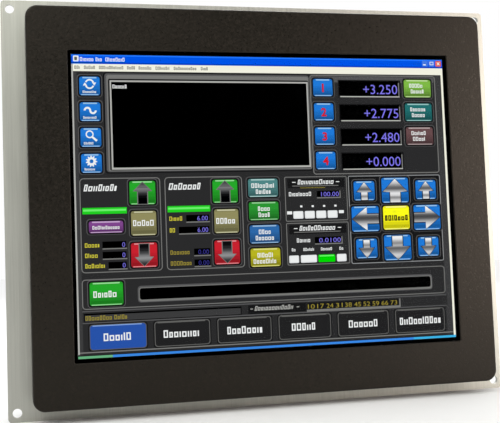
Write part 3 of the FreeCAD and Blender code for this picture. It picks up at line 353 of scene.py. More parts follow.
def clear_glass(name):
    """Coated glass that mirrors only at a low angle, with faint wipe marks."""
    finish = Finish(name, Base_Color=(0.985, 0.99, 0.985), IOR=1.35, Transmission_Weight=1.0,
                    Specular_Tint=(0.0, 0.0, 0.0))
    wiped = finish.noise(40.0, 4.0, 0.6)
    return finish.rough(finish.spread(wiped, *SHEEN_BAND, 0.07, 0.1))


def make_finishes():
    """One material for each of the record's slots."""
    made = [
        brushed_metal("brushed_plate", (0.5, 0.5, 0.457), (0.375, 0.375, 0.34),
                      (1700.0, 1700.0, 22.0), (0.38, 0.52)),
        moulded("gasket_rubber", (0.02, 0.02, 0.02), (0.06, 0.06, 0.06), 1500.0, (0.75, 0.95),
                0.00008, 0.3),
        moulded("bezel_black", (0.0042, 0.0034, 0.0018), (0.03, 0.021, 0.016), 640.0, (0.26, 0.44),
                0.00016, 0.24, Specular_Tint=(1.0, 0.91, 0.82)),
        clear_glass("clear_glass"),
        moulded("black_ink", (0.0012, 0.0012, 0.0012), (0.002, 0.002, 0.002), 900.0, (0.5, 0.7),
                0.000005, 0.05),
        ribbon_cable("film_amber", (0.55, 0.27, 0.05), (0.33, 0.13, 0.02), 0.0012),
        brushed_metal("module_steel", (0.62, 0.62, 0.61), (0.45, 0.45, 0.45), (30.0, 900.0, 900.0)),
        moulded("display_glass", (0.004, 0.004, 0.006), (0.01, 0.01, 0.012), 2400.0, (0.3, 0.45),
                0.000005, 0.1),
        moulded("white_plastic", (0.8, 0.8, 0.78), (0.9, 0.9, 0.88), 700.0, (0.4, 0.6)),
        brushed_metal("plain_aluminium", (0.75, 0.75, 0.76), (0.6, 0.6, 0.61),
                      (20.0, 1200.0, 1200.0)),
        circuit_board("circuit_green"),
        plated_metal("zinc_steel", (0.46, 0.47, 0.49), (0.3, 0.31, 0.33)),
        plated_metal("brass_parts", (0.72, 0.55, 0.26), (0.52, 0.37, 0.14)),
        moulded("black_parts", (0.018, 0.018, 0.02), (0.07, 0.07, 0.07), 1300.0, (0.35, 0.55)),
        ribbon_cable("cable_grey", (0.42, 0.42, 0.43), (0.2, 0.2, 0.21), 0.00127),
        moulded("housing_paint", (0.05, 0.05, 0.053), (0.12, 0.12, 0.125), 1600.0, (0.45, 0.62),
                0.00006, 0.4),
        plated_metal("plated_shell", (0.62, 0.62, 0.6), (0.42, 0.42, 0.41), (0.16, 0.32)),
        moulded("blue_insert", (0.02, 0.06, 0.36), (0.05, 0.12, 0.5), 1500.0),
        moulded("terminal_green", (0.03, 0.26, 0.07), (0.09, 0.42, 0.15), 1400.0),
        moulded("rocker_black", (0.012, 0.012, 0.012), (0.05, 0.05, 0.05), 2200.0, (0.2, 0.32),
                0.000008),
        moulded("key_grey", (0.14, 0.145, 0.15), (0.27, 0.28, 0.29), 1700.0, (0.42, 0.6)),
    ]
    return {finish.name: finish.mat for finish in made}


def paint_cad(finishes):
    """Gives every CAD node the material of its slot in the record."""
    for item in frame["record"]["subparts"]:
        if item["node"] in nodes:
            mesh = nodes[item["node"]].data
            mesh.materials.clear()
            mesh.materials.append(finishes[item["material_slot"]])


# ---------------------------------------------------------------- the lit picture

# colours of the picture, 0 to 255 as a screen states them
INKS = {
    "black": (0, 0, 0), "shade": (24, 24, 25), "panel": (43, 43, 44), "field": (60, 60, 61),
    "rim": (86, 86, 87), "edge": (120, 120, 118), "line": (178, 178, 174), "white": (238, 240, 240),
    "cream": (243, 242, 226), "text_dark": (96, 94, 88), "title": (0, 84, 232),
    "title_light": (32, 116, 250), "title_dark": (0, 62, 190), "box_blue": (70, 120, 226),
    "box_red": (226, 92, 58), "button": (28, 108, 192), "button_tip": (150, 194, 232),
    "glyph_red": (204, 28, 40), "digit": (122, 114, 226), "digit_dim": (52, 50, 132),
    "leaf": (112, 164, 62), "leaf_tip": (196, 224, 160), "teal": (30, 98, 98),
    "teal_tip": (150, 196, 194), "plum": (92, 66, 68), "plum_tip": (176, 160, 160),
    "green": (34, 148, 38), "green_tip": (150, 220, 150), "khaki": (128, 124, 84),
    "khaki_tip": (200, 198, 164), "red": (178, 30, 42), "red_tip": (230, 140, 146),
    "purple": (112, 62, 124), "purple_tip": (196, 164, 204), "slate": (70, 118, 118),
    "slate_tip": (170, 204, 202), "mode_green": (38, 132, 44), "mode_green_tip": (146, 206, 148),
    "mode_blue": (40, 92, 150), "mode_blue_tip": (150, 186, 220), "olive": (164, 160, 30),
    "olive_tip": (222, 220, 130), "bar_green": (34, 206, 34), "bar_light": (110, 240, 110),
    "label": (206, 196, 60), "label_dim": (150, 136, 54), "yellow": (240, 234, 24),
    "yellow_tip": (250, 248, 150), "silver": (226, 228, 230), "steel": (150, 152, 154),
    "lamp_green": (0, 216, 0), "tab_blue": (40, 82, 168), "tab_blue_tip": (130, 164, 224),
    "tab": (34, 34, 35), "tab_tip": (98, 98, 96), "taskbar": (58, 134, 226),
    "taskbar_green": (104, 176, 128), "taskbar_light": (60, 176, 226),
}
# strips across a button's face: where each starts and ends in its height, and its light
BUTTON_STRIPS = {"high": (0.1, 0.42, 1.13), "rise": (0.42, 0.52, 1.06), "fall": (0.68, 0.8, 0.92),
                 "low": (0.8, 0.93, 0.82)}
INKS.update({f"{ink}_{strip}": tuple(min(round(level * gain), 255) for level in INKS[ink])
             for ink in ("button", "leaf", "teal", "plum", "green", "khaki", "red", "purple",
                         "slate", "mode_green", "mode_blue", "olive", "yellow")
             for strip, (_, _, gain) in BUTTON_STRIPS.items()})
GREY_STEP = 12
INKS.update({f"grey_{level}": (level, level, level + 2) for level in range(0, 250, GREY_STEP)})
ACTIVE_SIZE = (304.1 * MM, 228.1 * MM)
SCREEN_UNITS = (1024.0, 768.0)
# the black ground lies on the display, and each layer stands this much higher on it
GROUND = 0.04 * MM
LAYER = 0.03 * MM
# rows of boxes and bars that stand for words: the share of boxes and of tall ones, and how much
# lower the rest start and how far apart they are, as shares of the height
WORD_BOXED, WORD_TALL = 0.72, 0.3
WORD_LOWER, WORD_GAP = 0.26, 0.17
CORNER_STEPS = 4
ARROW_RIM = 1.6
STRIPS_PER_GREY = 3
WELD = 1e-4


def linear(level):
    """Linear light of a screen level from 0 to 255."""
    share = level / 255.0
    return share / 12.92 if share <= 0.04045 else ((share + 0.055) / 1.055) ** 2.4


def ink_material(name):
    """Lit picture elements under an anti-glare film with a fine grain."""
    light = tuple(linear(level) for level in INKS[name])
    finish = Finish(f"picture_{name}", Base_Color=(0.0, 0.0, 0.0), Emission_Color=light,
                    Emission_Strength=1.0, Specular_IOR_Level=0.0)
    finish.rough(finish.spread(finish.noise(2600.0, 2.0), *GRAIN_BAND, 0.35, 0.6))
    return finish.bump(finish.cells(3400.0), 0.000004, 0.3).mat


def prism(shape, place, outline, low, high):
    """Closed tile with an outline, between two levels; place turns (u, v, level) into a point."""
    rings = [[shape.verts.new(place(u, v, level)) for u, v in outline] for level in (low, high)]
    faces = [shape.faces.new(rings[1]), shape.faces.new(rings[0][::-1])]
    for this in range(len(outline)):
        after = (this + 1) % len(outline)
        faces.append(shape.faces.new(
            (rings[0][this], rings[0][after], rings[1][after], rings[1][this])))
    return faces


def hoop(shape, place, outer, inner, low, high):
    """Closed band between an outer and an inner outline that have as many points."""
    rings = [[shape.verts.new(place(u, v, level)) for u, v in outline]
             for outline, level in ((outer, low), (outer, high), (inner, high), (inner, low))]
    faces = []
    for this in range(len(outer)):
        after = (this + 1) % len(outer)
        for first, second in zip(rings, rings[1:] + rings[:1]):
            faces.append(shape.faces.new(
                (first[this], first[after], second[after], second[this])))
    return faces


class Picture:
    """Lit shapes that lie on the display's front, drawn in screen units from its top left."""

    def __init__(self, name):
        self.name = name
        self.shape = bmesh.new()
        self.inks = []
        low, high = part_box("lcd_cell")
        self.front = low.y
        self.middle = ((low.x + high.x) / 2, (low.z + high.z) / 2)

    def place(self, u, v, level):
        x = self.middle[0] + (u / SCREEN_UNITS[0] - 0.5) * ACTIVE_SIZE[0]
        z = self.middle[1] + (0.5 - v / SCREEN_UNITS[1]) * ACTIVE_SIZE[1]
        return Vector((x, self.front - level, z))

    def ink(self, name):
        if name not in self.inks:
            self.inks.append(name)
        return self.inks.index(name)

    def levels(self, layer):
        return (0.0, GROUND) if layer == 0 else (GROUND, GROUND + layer * LAYER)

    def solid(self, outline, ink, layer):
        """Flat tile with the outline, as high as its layer."""
        for face in prism(self.shape, self.place, outline, *self.levels(layer)):
            face.material_index = self.ink(ink)

    def rect(self, u0, v0, u1, v1, ink, layer, lean=0.0):
        """Rectangle, leaning to the right by a share of its height if asked."""
        shift = lean * (v1 - v0)
        self.solid([(u0, v1), (u1, v1), (u1 + shift, v0), (u0 + shift, v0)], ink, layer)

    def rounded(self, u0, v0, u1, v1, radius, ink, layer):
        outline = []
        for corner, (u, v) in enumerate(((u1 - radius, v1 - radius), (u0 + radius, v1 - radius),
                                         (u0 + radius, v0 + radius), (u1 - radius, v0 + radius))):
            for step in range(CORNER_STEPS + 1):
                angle = (corner + step / CORNER_STEPS) * math.pi / 2
                outline.append((u + radius * math.cos(angle), v + radius * math.sin(angle)))
        self.solid(outline, ink, layer)

    def framed(self, u0, v0, u1, v1, radius, width, line, fill, layer):
        """Rounded panel with an outline."""
        self.rounded(u0, v0, u1, v1, radius, line, layer)
        self.rounded(u0 + width, v0 + width, u1 - width, v1 - width, max(radius - width, 1.0),
                     fill, layer + 1)

    def button(self, u0, v0, u1, v1, ink, layer):
        """Push button in a dark socket, with shaded face and light edges above and below."""
        self.rounded(u0 - 6, v0 - 6, u1 + 6, v1 + 5, 9.0, "rim", layer)
        self.rounded(u0 - 4, v0 - 4, u1 + 4, v1 + 4, 8.0, "shade", layer + 1)
        self.rounded(u0, v0, u1, v1, 6.0, ink, layer + 2)
        tall = v1 - v0
        for strip, (start, end, _) in BUTTON_STRIPS.items():
            self.rect(u0 + 1.5, v0 + start * tall, u1 - 1.5, v0 + end * tall, f"{ink}_{strip}",
                      layer + 2.5)
        self.rounded(u0 + 8, v0 + 1, u1 - 8, v0 + 4.4, 1.6, f"{ink}_tip", layer + 3)
        self.rounded(u0 + 4, v1 - 2.8, u1 - 4, v1 - 0.6, 1.0, f"{ink}_tip", layer + 3)

    def hollow(self, u0, v0, u1, v1, line, ink, layer, lean=0.0):
        """Rectangle's outline, leaning like rect."""
        quads = []
        for inset in (0.0, line):
            quads.append([(u + lean * (v1 - v), v) for u, v in
                          ((u0 + inset, v1 - inset), (u1 - inset, v1 - inset),
                           (u1 - inset, v0 + inset), (u0 + inset, v0 + inset))])
        for face in hoop(self.shape, self.place, *quads, *self.levels(layer)):
            face.material_index = self.ink(ink)

    def words(self, u0, v0, u1, v1, ink, layer, seed, lean=0.0, line=0.17):
        """Unreadable stand-in for a line of writing: a row of small boxes and bars."""
        draw = random.Random(seed)
        tall = v1 - v0
        u, first = u0, True
        while u < u1 - 0.3 * tall:
            boxed = first or draw.random() < WORD_BOXED
            wide = min(tall * (draw.uniform(0.46, 0.62) if boxed else line * 1.1), u1 - u)
            top = v0 if first or draw.random() < WORD_TALL else v0 + WORD_LOWER * tall
            if boxed:
                self.hollow(u, top, u + wide, v1, line * tall, ink, layer, lean)
            else:
                self.rect(u, top, u + wide, v1, ink, layer, lean)
            u += wide + WORD_GAP * tall
            first = False

    def digits(self, text, u0, v0, u1, v1, ink, layer, offset=0.0):
        """Figures that fill a box, or one that is centred in it; offset thickens their strokes."""
        data = bpy.data.curves.new("figures", "FONT")
        data.body = text
        data.extrude = 0.5
        data.offset = offset
        data.resolution_u = 3
        item = bpy.data.objects.new("figures", data)
        mesh = bpy.data.meshes.new_from_object(item)
        bpy.data.objects.remove(item)
        bpy.data.curves.remove(data)
        part = bmesh.new()
        part.from_mesh(mesh)
        bpy.data.meshes.remove(mesh)
        bmesh.ops.remove_doubles(part, verts=part.verts, dist=WELD)
        low = [min(vert.co[axis] for vert in part.verts) for axis in (0, 1)]
        high = [max(vert.co[axis] for vert in part.verts) for axis in (0, 1)]
        if len(text) == 1:
            half = (v1 - v0) * (high[0] - low[0]) / (high[1] - low[1]) / 2
            u0, u1 = (u0 + u1) / 2 - half, (u0 + u1) / 2 + half
        ink_index = self.ink(ink)
        moved = {}
        for vert in part.verts:
            u = u0 + (vert.co.x - low[0]) / (high[0] - low[0]) * (u1 - u0)
            v = v1 - (vert.co.y - low[1]) / (high[1] - low[1]) * (v1 - v0)
            level = GROUND + (layer * LAYER if vert.co.z > 0 else 0.0)
            moved[vert] = self.shape.verts.new(self.place(u, v, level))
        for face in part.faces:
            made = self.shape.faces.new([moved[vert] for vert in face.verts])
            made.material_index = ink_index
        part.free()

    def shaded(self, outline, shades, layer):
        """Tile with the outline, in level strips whose greys follow the shades downwards."""
        top, base = min(v for _, v in outline), max(v for _, v in outline)
        count = STRIPS_PER_GREY * (len(shades) - 1)
        step = (base - top) / count
        for strip in range(count):
            high, low = top + strip * step, top + (strip + 1) * step
            spans = []
            for level in (high + 0.02 * step, low - 0.02 * step):
                hits = [p[0] + (level - p[1]) / (q[1] - p[1]) * (q[0] - p[0])
                        for p, q in zip(outline, outline[1:] + outline[:1])
                        if (p[1] - level) * (q[1] - level) < 0]
                spans.append((min(hits), max(hits)))
            at = (strip + 0.5) / count * (len(shades) - 1)
            shade = shades[int(at)] + (at - int(at)) * (shades[int(at) + 1] - shades[int(at)])
            self.solid([(spans[0][0], high), (spans[1][0], low), (spans[1][1], low),
                        (spans[0][1], high)], f"grey_{GREY_STEP * round(shade / GREY_STEP)}", layer)

    def arrow(self, u0, v0, u1, v1, way, shades, layer, stem=0.42, head=0.5, rim="shade"):
        """Block arrow that fills a box, with greys from top to bottom and a thin rim."""
        for grow, fill in ((ARROW_RIM, False), (0.0, True)):
            half = stem / 2 + grow / (u1 - u0)
            outline = []
            for a, b in ((0.5, 0.0), (1.0, head), (0.5 + half, head), (0.5 + half, 1.0),
                         (0.5 - half, 1.0), (0.5 - half, head), (0.0, head)):
                a, b = {"up": (a, b), "down": (a, 1 - b), "left": (b, a), "right": (1 - b, a)}[way]
                outline.append((u0 - grow + a * (u1 - u0 + 2 * grow),
                                v0 - grow + b * (v1 - v0 + 2 * grow)))
            if fill:
                self.shaded(outline, shades, layer + 1)
            else:
                self.solid(outline, rim, layer)

    def finish(self, inks):
        """Makes the shapes one piece; inks holds the materials made so far."""
        bmesh.ops.recalc_face_normals(self.shape, faces=self.shape.faces)
        mesh = bpy.data.meshes.new(self.name)
        self.shape.to_mesh(mesh)
        self.shape.free()
        for ink in self.inks:
            if ink not in inks:
                inks[ink] = ink_material(ink)
            mesh.materials.append(inks[ink])
        item = bpy.data.objects.new(self.name, mesh)
        scene.collection.objects.link(item)
        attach(item, "panel")


# greys of the arrows from top to bottom
SILVER_UP = (246, 222, 186, 132, 84, 150, 236, 214, 132, 200, 240)
SILVER_DOWN = (244, 236, 190, 130, 190, 92, 120, 168, 214, 186, 130)
SILVER_ACROSS = (232, 240, 226, 168, 80, 70, 132, 188, 226, 238, 196)
DARK_UP = (72, 84, 120, 62, 8, 4, 4)
DARK_DOWN = (6, 20, 44, 112, 150, 70, 22)
# places that the panels share, in screen units, and the steps of their rows and columns
SCREEN_WIDE, SCREEN_TALL = 1024, 768
TITLE_LOW, MENU_LOW, TASKBAR_TOP = 24, 43, 762
PANEL_LEFT, PANEL_RIGHT = 13, 1000
ROW_TOP, ROW_STEP = 57, 66.0
MODE_TOP, MODE_STEP = 325, 61
SELECTOR_STEP, CODE_STEP, TAB_STEP = 32, 26, 164
GEAR_POINTS, TOOTH_POINTS = 44, 4


def draw_window():
    """Title bar, menu, outer borders and the bar along the bottom."""
    picture = Picture("picture_window")
    picture.rect(0, 0, SCREEN_WIDE, SCREEN_TALL, "black", 0)
    picture.rect(0, 0, SCREEN_WIDE, TITLE_LOW, "title", 1)
    picture.rect(0, 0, SCREEN_WIDE, 4, "title_light", 2)
    picture.rect(0, 20, SCREEN_WIDE, TITLE_LOW, "title_dark", 2)
    picture.rounded(5, 3, 19, 18, 2.0, "white", 3)
    picture.rounded(8, 6, 15, 15, 2.0, "text_dark", 4)
    for index, (u0, u1) in enumerate(((22, 58), (62, 82), (87, 140))):
        picture.words(u0, 7, u1, 17, "white", 3, index)
    for u0, ink in ((964, "box_blue"), (984, "box_blue"), (1004, "box_red")):
        picture.rounded(u0, 3, u0 + 17, 19, 2.5, ink, 3)
    picture.rect(967, 13, 975, 16, "white", 4)
    picture.framed(987, 6, 998, 15, 1.2, 1.6, "white", "box_blue", 4)
    for lean in (0.9, -0.9):
        picture.rect(1011 - lean * 4, 7, 1014 - lean * 4, 15, "white", 4, lean)
    picture.rect(0, TITLE_LOW, SCREEN_WIDE, MENU_LOW, "cream", 1)
    start = 8.0
    for index, length in enumerate((14, 28, 62, 20, 34, 38, 62, 18)):
        picture.words(start, 29, start + length, 37, "text_dark", 2, 10 + index)
        start += length + 10
    picture.rect(0, MENU_LOW, SCREEN_WIDE, 761, "panel", 1)
    picture.rect(0, TITLE_LOW, 4, 758, "line", 2)
    picture.rect(1018, TITLE_LOW, SCREEN_WIDE, TASKBAR_TOP, "cream", 2)
    picture.rect(PANEL_RIGHT, 44, 1016, 758, "field", 2)
    picture.rect(4, 44, PANEL_LEFT, 758, "field", 2)
    picture.rect(4, 752, 1018, 755, "edge", 3)
    picture.rect(0, TASKBAR_TOP, SCREEN_WIDE, SCREEN_TALL, "taskbar", 2)
    picture.rect(0, TASKBAR_TOP, 86, SCREEN_TALL, "taskbar_green", 3)
    picture.rect(900, TASKBAR_TOP, SCREEN_WIDE, SCREEN_TALL, "taskbar_light", 3)
    return picture


def draw_view():
    """Large dark view with its sunk frame, and the column of four icon keys beside it."""
    picture = Picture("picture_view")
    picture.rounded(79, 46, 634, 306, 8.0, "shade", 2)
    picture.rounded(83, 48, 632, 302, 7.0, "rim", 3)
    picture.rounded(88, 52, 630, 300, 5.0, "edge", 4)
    picture.rounded(92, 62, 629, 298, 4.0, "shade", 5)
    picture.rect(96, 66, 628, 296, "line", 6)
    picture.rect(100, 70, 624, 291, "black", 7)
    picture.words(103, 77, 139, 87, "white", 8, 30)
    for index in range(4):
        top = ROW_TOP + index * ROW_STEP
        picture.button(19, top, 71, top + 48, "button", 2)
        picture.words(27, top + 36, 61 if index < 2 else 53, top + 42, "white", 6, 40 + index)
    draw_icons(picture)
    return picture


def arc_band(u, v, radius, width, start, end, steps=12):
    """Outline of a part of a ring, between two angles in degrees."""
    angles = [math.radians(start + (end - start) * step / steps) for step in range(steps + 1)]
    outer = [(u + (radius + width / 2) * math.cos(a), v + (radius + width / 2) * math.sin(a))
             for a in angles]
    inner = [(u + (radius - width / 2) * math.cos(a), v + (radius - width / 2) * math.sin(a))
             for a in reversed(angles)]
    return outer + inner


def draw_icons(picture):
    """Plain signs on the icon keys: turn, wave, magnify and cogwheel."""
    middle, layer = 45.0, 6
    turn, wave, lens, gear = (72.0 + index * ROW_STEP for index in range(4))
    wheel = []
    for step in range(GEAR_POINTS):
        reach = 14.5 if step % TOOTH_POINTS < TOOTH_POINTS / 2 else 10.5
        angle = math.tau * step / GEAR_POINTS
        wheel.append((middle + reach * math.cos(angle), gear + 4 + reach * math.sin(angle)))
    for outline in (
            arc_band(middle, turn + 3, 10.0, 4.0, 200, 340),
            arc_band(middle, turn + 5, 10.0, 4.0, 20, 160),
            [(middle + 6, turn), (middle + 17, turn), (middle + 12, turn + 8)],
            [(middle - 6, turn + 8), (middle - 17, turn + 8), (middle - 12, turn)],
            arc_band(middle - 7, wave + 6, 7.0, 5.0, 180, 360),
            arc_band(middle + 7, wave + 6, 7.0, 5.0, 0, 180),
            arc_band(middle - 3, lens + 1, 8.5, 3.2, 0, 356, 24),
            [(middle + 4, lens + 5), (middle + 17, lens + 16), (middle + 13, lens + 20),
             (middle + 1, lens + 9)],
            wheel):
        picture.solid(outline, "white", layer)
    picture.rounded(middle - 5, gear - 1, middle + 5, gear + 9, 4.9, "button", layer + 1)


def draw_axes():
    """Four numbered rows with their readings, and three keys to their right."""
    picture = Picture("picture_axes")
    picture.framed(634, 46, PANEL_RIGHT, 316, 8.0, 2.5, "edge", "panel", 2)
    picture.rounded(638, 50, 996, 66, 5.0, "rim", 4)
    readings = ("+3.250", "+2.775", "+2.480", "+0.000")
    for index, reading in enumerate(readings):
        top = ROW_TOP + index * ROW_STEP
        picture.button(643, top, 698, top + 47, "button", 4)
        picture.digits(str(index + 1), 662, top + 13, 679, top + 36, "glyph_red", 8, 0.03)
        slot_top = top + 5
        picture.rect(714, slot_top - 3, 896, slot_top + 46, "shade", 5)
        picture.rect(719, slot_top + 41.5, 892, slot_top + 44.5, "line", 6)
        picture.rect(889, slot_top + 4, 892, slot_top + 44, "edge", 6)
        picture.rect(717, slot_top, 889, slot_top + 41, "black", 7)
        picture.digits(reading, 786, slot_top + 10, 886, slot_top + 36, "digit", 8)
    for index, ink in enumerate(("leaf", "teal", "plum")):
        top = ROW_TOP + index * ROW_STEP
        picture.button(906, top, 986, top + 49, ink, 4)
        picture.words(922, top + 11, 966, top + 22, "white", 8, 50 + index)
        picture.words(926, top + 27, 964, top + 38, "white", 8, 60 + index)
    return picture


def draw_override(name, left, labels, seed):
    """Panel with a bar, raise, reset and lower keys, and readings.

    A label holds its top, where its reading's slot starts, its ink, the reading and its ink."""
    picture = Picture(name)
    picture.framed(left, 317, left + 206, 556, 10.0, 2.2, "edge", "panel", 2)
    picture.words(left + 10, 333, left + 92, 350, "white", 4, seed, 0.2)
    picture.rect(left + 6, 392, left + 118, 408, "bar_green", 4)
    picture.rect(left + 8, 396, left + 116, 401, "bar_light", 5)
    for start, top, low, ink in ((126, 326, 386, "green"), (128, 403, 465, "khaki"),
                                 (126, 484, 546, "red")):
        picture.button(left + start, top, left + 193, low, ink, 4)
    picture.words(left + 133, 426, left + 188, 441, "white", 8, seed + 1)
    for way, shades, top in (("up", DARK_UP, 327), ("down", DARK_DOWN, 485)):
        picture.arrow(left + 136, top + 2, left + 183, top + 58, way, shades, 8, 0.5, 0.42, "edge")
    for index, (row, start, ink, reading, glow) in enumerate(labels):
        picture.words(left + 10, row + 3, left + start - 8, row + 14, ink, 4, seed + 5 + index)
        picture.rect(left + start, row + 17, left + 116, row + 20, "edge", 4)
        picture.rect(left + start, row, left + 114, row + 17, "black", 5)
        wide = 7 * len(reading)
        picture.digits(reading, left + 111 - wide, row + 3, left + 111, row + 15, glow, 6)
    return picture


def draw_overrides():
    """Two panels of the same kind; the left one has a key more."""
    spindle = [(478, 54, "label", "0", "digit"), (504, 54, "label", "0", "digit"),
               (530, 68, "label", "0", "digit")]
    first = draw_override("picture_spindle", PANEL_LEFT, spindle, 100)
    first.button(34, 426, 121, 456, "purple", 4)
    first.words(43, 438, 112, 447, "white", 8, 120)
    feed = [(416, 54, "label", "6.00", "digit"), (446, 34, "label", "6.00", "digit"),
            (503, 72, "label_dim", "0.00", "digit_dim"),
            (531, 72, "label_dim", "0.00", "digit_dim")]
    return [first, draw_override("picture_feed", 230, feed, 140)]


def draw_modes():
    """Column of four mode keys."""
    picture = Picture("picture_modes")
    rows = (("slate", 63, 40), ("mode_green", 32, 30), ("mode_blue", 32, 50), ("olive", 44, 66))
    for index, (ink, first, second) in enumerate(rows):
        top = MODE_TOP + index * MODE_STEP
        picture.button(452, top, 533, top + 48, ink, 3)
        for row, wide in enumerate((first, second)):
            middle, height = 492.5, top + 12 + row * 16
            picture.words(middle - wide / 2, height, middle + wide / 2, height + 12, "white", 7,
                          70 + index * 2 + row)
    return picture


def draw_jog_settings():
    """Two panels with a reading and a row of small keys each."""
    picture = Picture("picture_jog_settings")
    for top, tall, word, left, reading in ((321, 119, 78, 641, "100.00"),
                                           (444, 112, 50, 630, "0.0100")):
        picture.framed(552, top, 727, top + tall, 4.0, 2.0, "edge", "panel", 2)
        picture.rect(560, top + 6, 720, top + 30, "shade", 4)
        picture.rect(573, top + 14, 583, top + 16, "white", 5)
        picture.words(588, top + 8, 692, top + 21, "white", 5, top, 0.2)
        picture.rect(696, top + 14, 706, top + 16, "white", 5)
        picture.rect(573, top + 24, 703, top + 26, "edge", 5)
        picture.words(left - word, top + 41, left - 13, top + 52, "white", 4, top + 1)
        picture.rect(left, top + 39, 708, top + 59, "edge", 4)
        picture.rect(left, top + 39, 705, top + 56, "black", 5)
        picture.digits(reading, left + 12, top + 42, 703, top + 54, "digit", 6)
    picture.rect(595, 349, 665, 352, "label_dim", 4)
    for index in range(4):
        left = 573 + index * SELECTOR_STEP
        picture.rect(left + 20, 398, left + 26, 403, "white", 5)
        picture.rounded(left, 413, left + 28, 433, 3.0, "silver", 4)
        picture.rounded(left + 3, 415, left + 25, 430, 2.0, "white", 5)
    for left in (556, 701):
        picture.rect(left, 413, left + 14, 421, "white", 4)
    for index, (u0, u1) in enumerate(((557, 584), (589, 634), (638, 685), (690, 717))):
        green = index == 2
        picture.words(u0 + 8, 511, u1 - 6, 519, "white", 4, 90 + index)
        picture.rounded(u0, 530, u1, 550, 3.0, "lamp_green" if green else "silver", 4)
        picture.rounded(u0 + 3, 532, u1 - 3, 535 if green else 547, 1.4,
                        "bar_light" if green else "white", 5)
    return picture


def draw_jog_pad():
    """Nine keys: eight ways to move and a hold key in the middle."""
    picture = Picture("picture_jog_pad")
    picture.framed(731, 321, PANEL_RIGHT, 558, 5.0, 2.0, "steel", "shade", 2)
    centres_u, centres_v = (776.0, 865.5, 956.0), (362.0, 438.0, 518.0)
    ways = (("up", "up", "up"), ("left", None, "right"), ("down", "down", "down"))
    for row, v in enumerate(centres_v):
        for column, u in enumerate(centres_u):
            big = row == 1 or column == 1
            half_u, half_v = (39.0, 34.0) if big else (30.0, 26.0)
            way = ways[row][column]
            if way is None:
                picture.button(u - 38, v - 33, u + 38, v + 31, "yellow", 4)
                picture.words(u - 33, v - 8, u + 33, v + 7, "shade", 9, 200, line=0.21)
                continue
            picture.button(u - half_u, v - half_v, u + half_u, v + half_v, "button", 4)
            if way in ("up", "down"):
                reach = half_u * (0.95 if big else 0.74)
                shades = SILVER_UP if way == "up" else SILVER_DOWN
                picture.arrow(u - reach, v - half_v + 3, u + reach, v + half_v - 1, way, shades, 8,
                              0.4, 0.56)
            else:
                picture.arrow(u - half_u + 1, v - half_v + 2, u + half_u - 1, v + half_v - 2, way,
                              SILVER_ACROSS, 8, 0.4, 0.56)
    return picture


def draw_lower():
    """Row with the stop key and its long slot, status strip and six tabs."""
    picture = Picture("picture_lower")
    picture.framed(PANEL_LEFT, 572, PANEL_RIGHT, 647, 9.0, 2.2, "edge", "panel", 2)
    picture.button(32, 580, 116, 638, "green", 4)
    picture.words(41, 602, 106, 618, "white", 8, 300)
    picture.rounded(153, 593, 962, 635, 8.0, "rim", 4)
    picture.rounded(156, 597, 960, 633, 7.0, "edge", 5)
    picture.rounded(158, 599, 957, 628, 6.0, "black", 6)
    picture.rect(PANEL_LEFT, 650, 1004, 682, "rim", 2)
    picture.rect(PANEL_LEFT, 653, 1004, 679, "panel", 3)
    picture.rect(17, 657, 422, 679, "black", 4)
    picture.rect(19, 661, 420, 677, "field", 5)
    for index, (u0, u1) in enumerate(((20, 87), (92, 124))):
        picture.words(u0, 663, u1, 674, "label_dim", 6, 310 + index)
    picture.rect(440, 655, 598, 678, "shade", 4)
    picture.words(457, 658, 566, 670, "line", 5, 320, 0.25)
    for left in (446, 572):
        picture.rect(left, 664, left + 7, 666, "line", 5)
    picture.rect(600, 656, 866, 680, "edge", 4)
    picture.rect(600, 656, 862, 674, "shade", 5)
    for index in range(10):
        left = 603 + index * CODE_STEP
        picture.digits(f"{index * 7 + 10}", left, 660, left + 19, 672, "label_dim", 6)
    lengths = (74, 98, 93, 73, 84, 119)
    for index, length in enumerate(lengths):
        left = 29 + index * TAB_STEP
        ink, edge = ("tab", "tab_tip") if index else ("tab_blue", "rim")
        picture.rounded(left - 3, 682, left + 147, 752, 9.0, "shade", 3)
        picture.rounded(left, 685, left + 144, 749, 8.0, edge, 4)
        picture.rounded(left + 2, 687, left + 142, 747, 7.0, ink, 5)
        picture.rect(left + 8, 687, left + 132, 689.5, f"{ink}_tip", 6)
        picture.words(left + 72 - length / 2, 708, left + 72 + length / 2, 727, "white", 6,
                      330 + index)
    return picture


def draw_picture():
    """The whole picture, in pieces that share their materials."""
    inks = {}
    parts = [draw_window(), draw_view(), draw_axes(), *draw_overrides(), draw_modes(),
             draw_jog_settings(), draw_jog_pad(), draw_lower()]
    for part in parts:
        part.finish(inks)


# ---------------------------------------------------------------- marks on the rear

# a flat faces the asked way within this cosine, and flats this near in level count as one
FLAT_COSINE, LEVEL_STEP = 0.9, 0.1 * MM
# how far marks reach into their surface and stand out of it, in millimetres
MARK_SUNK, ROCKER_MARK_HIGH, KEY_MARK_HIGH, WALL_MARK_HIGH = -0.02, 0.06, 0.08, 0.03
TERMINAL_PITCH = 5.08 * MM
TERMINAL_MARK_GAP, EARTH_MARK_GAP = 3.2 * MM, 3.4 * MM


def flats(name, way):
    """Flat areas of a node that face a way, the largest first, as middle and normal."""
    found = {}
    for face in nodes[name].data.polygons:
        if face.normal.dot(way) > FLAT_COSINE:
            level = round(face.center.dot(face.normal) / LEVEL_STEP)
            key = (*(round(part, 2) for part in face.normal), level)
            total, middle = found.get(key, (0.0, Vector()))
            found[key] = (total + face.area, middle + face.center * face.area)
    ranked = sorted(found.items(), key=lambda item: -item[1][0])
    return [(middle / total, Vector(key[:3]).normalized()) for key, (total, middle) in ranked]


def circle_line(radius, steps=32):
    """Outline of a disc."""
    return [(radius * math.cos(math.tau * step / steps), radius * math.sin(math.tau * step / steps))
            for step in range(steps)]


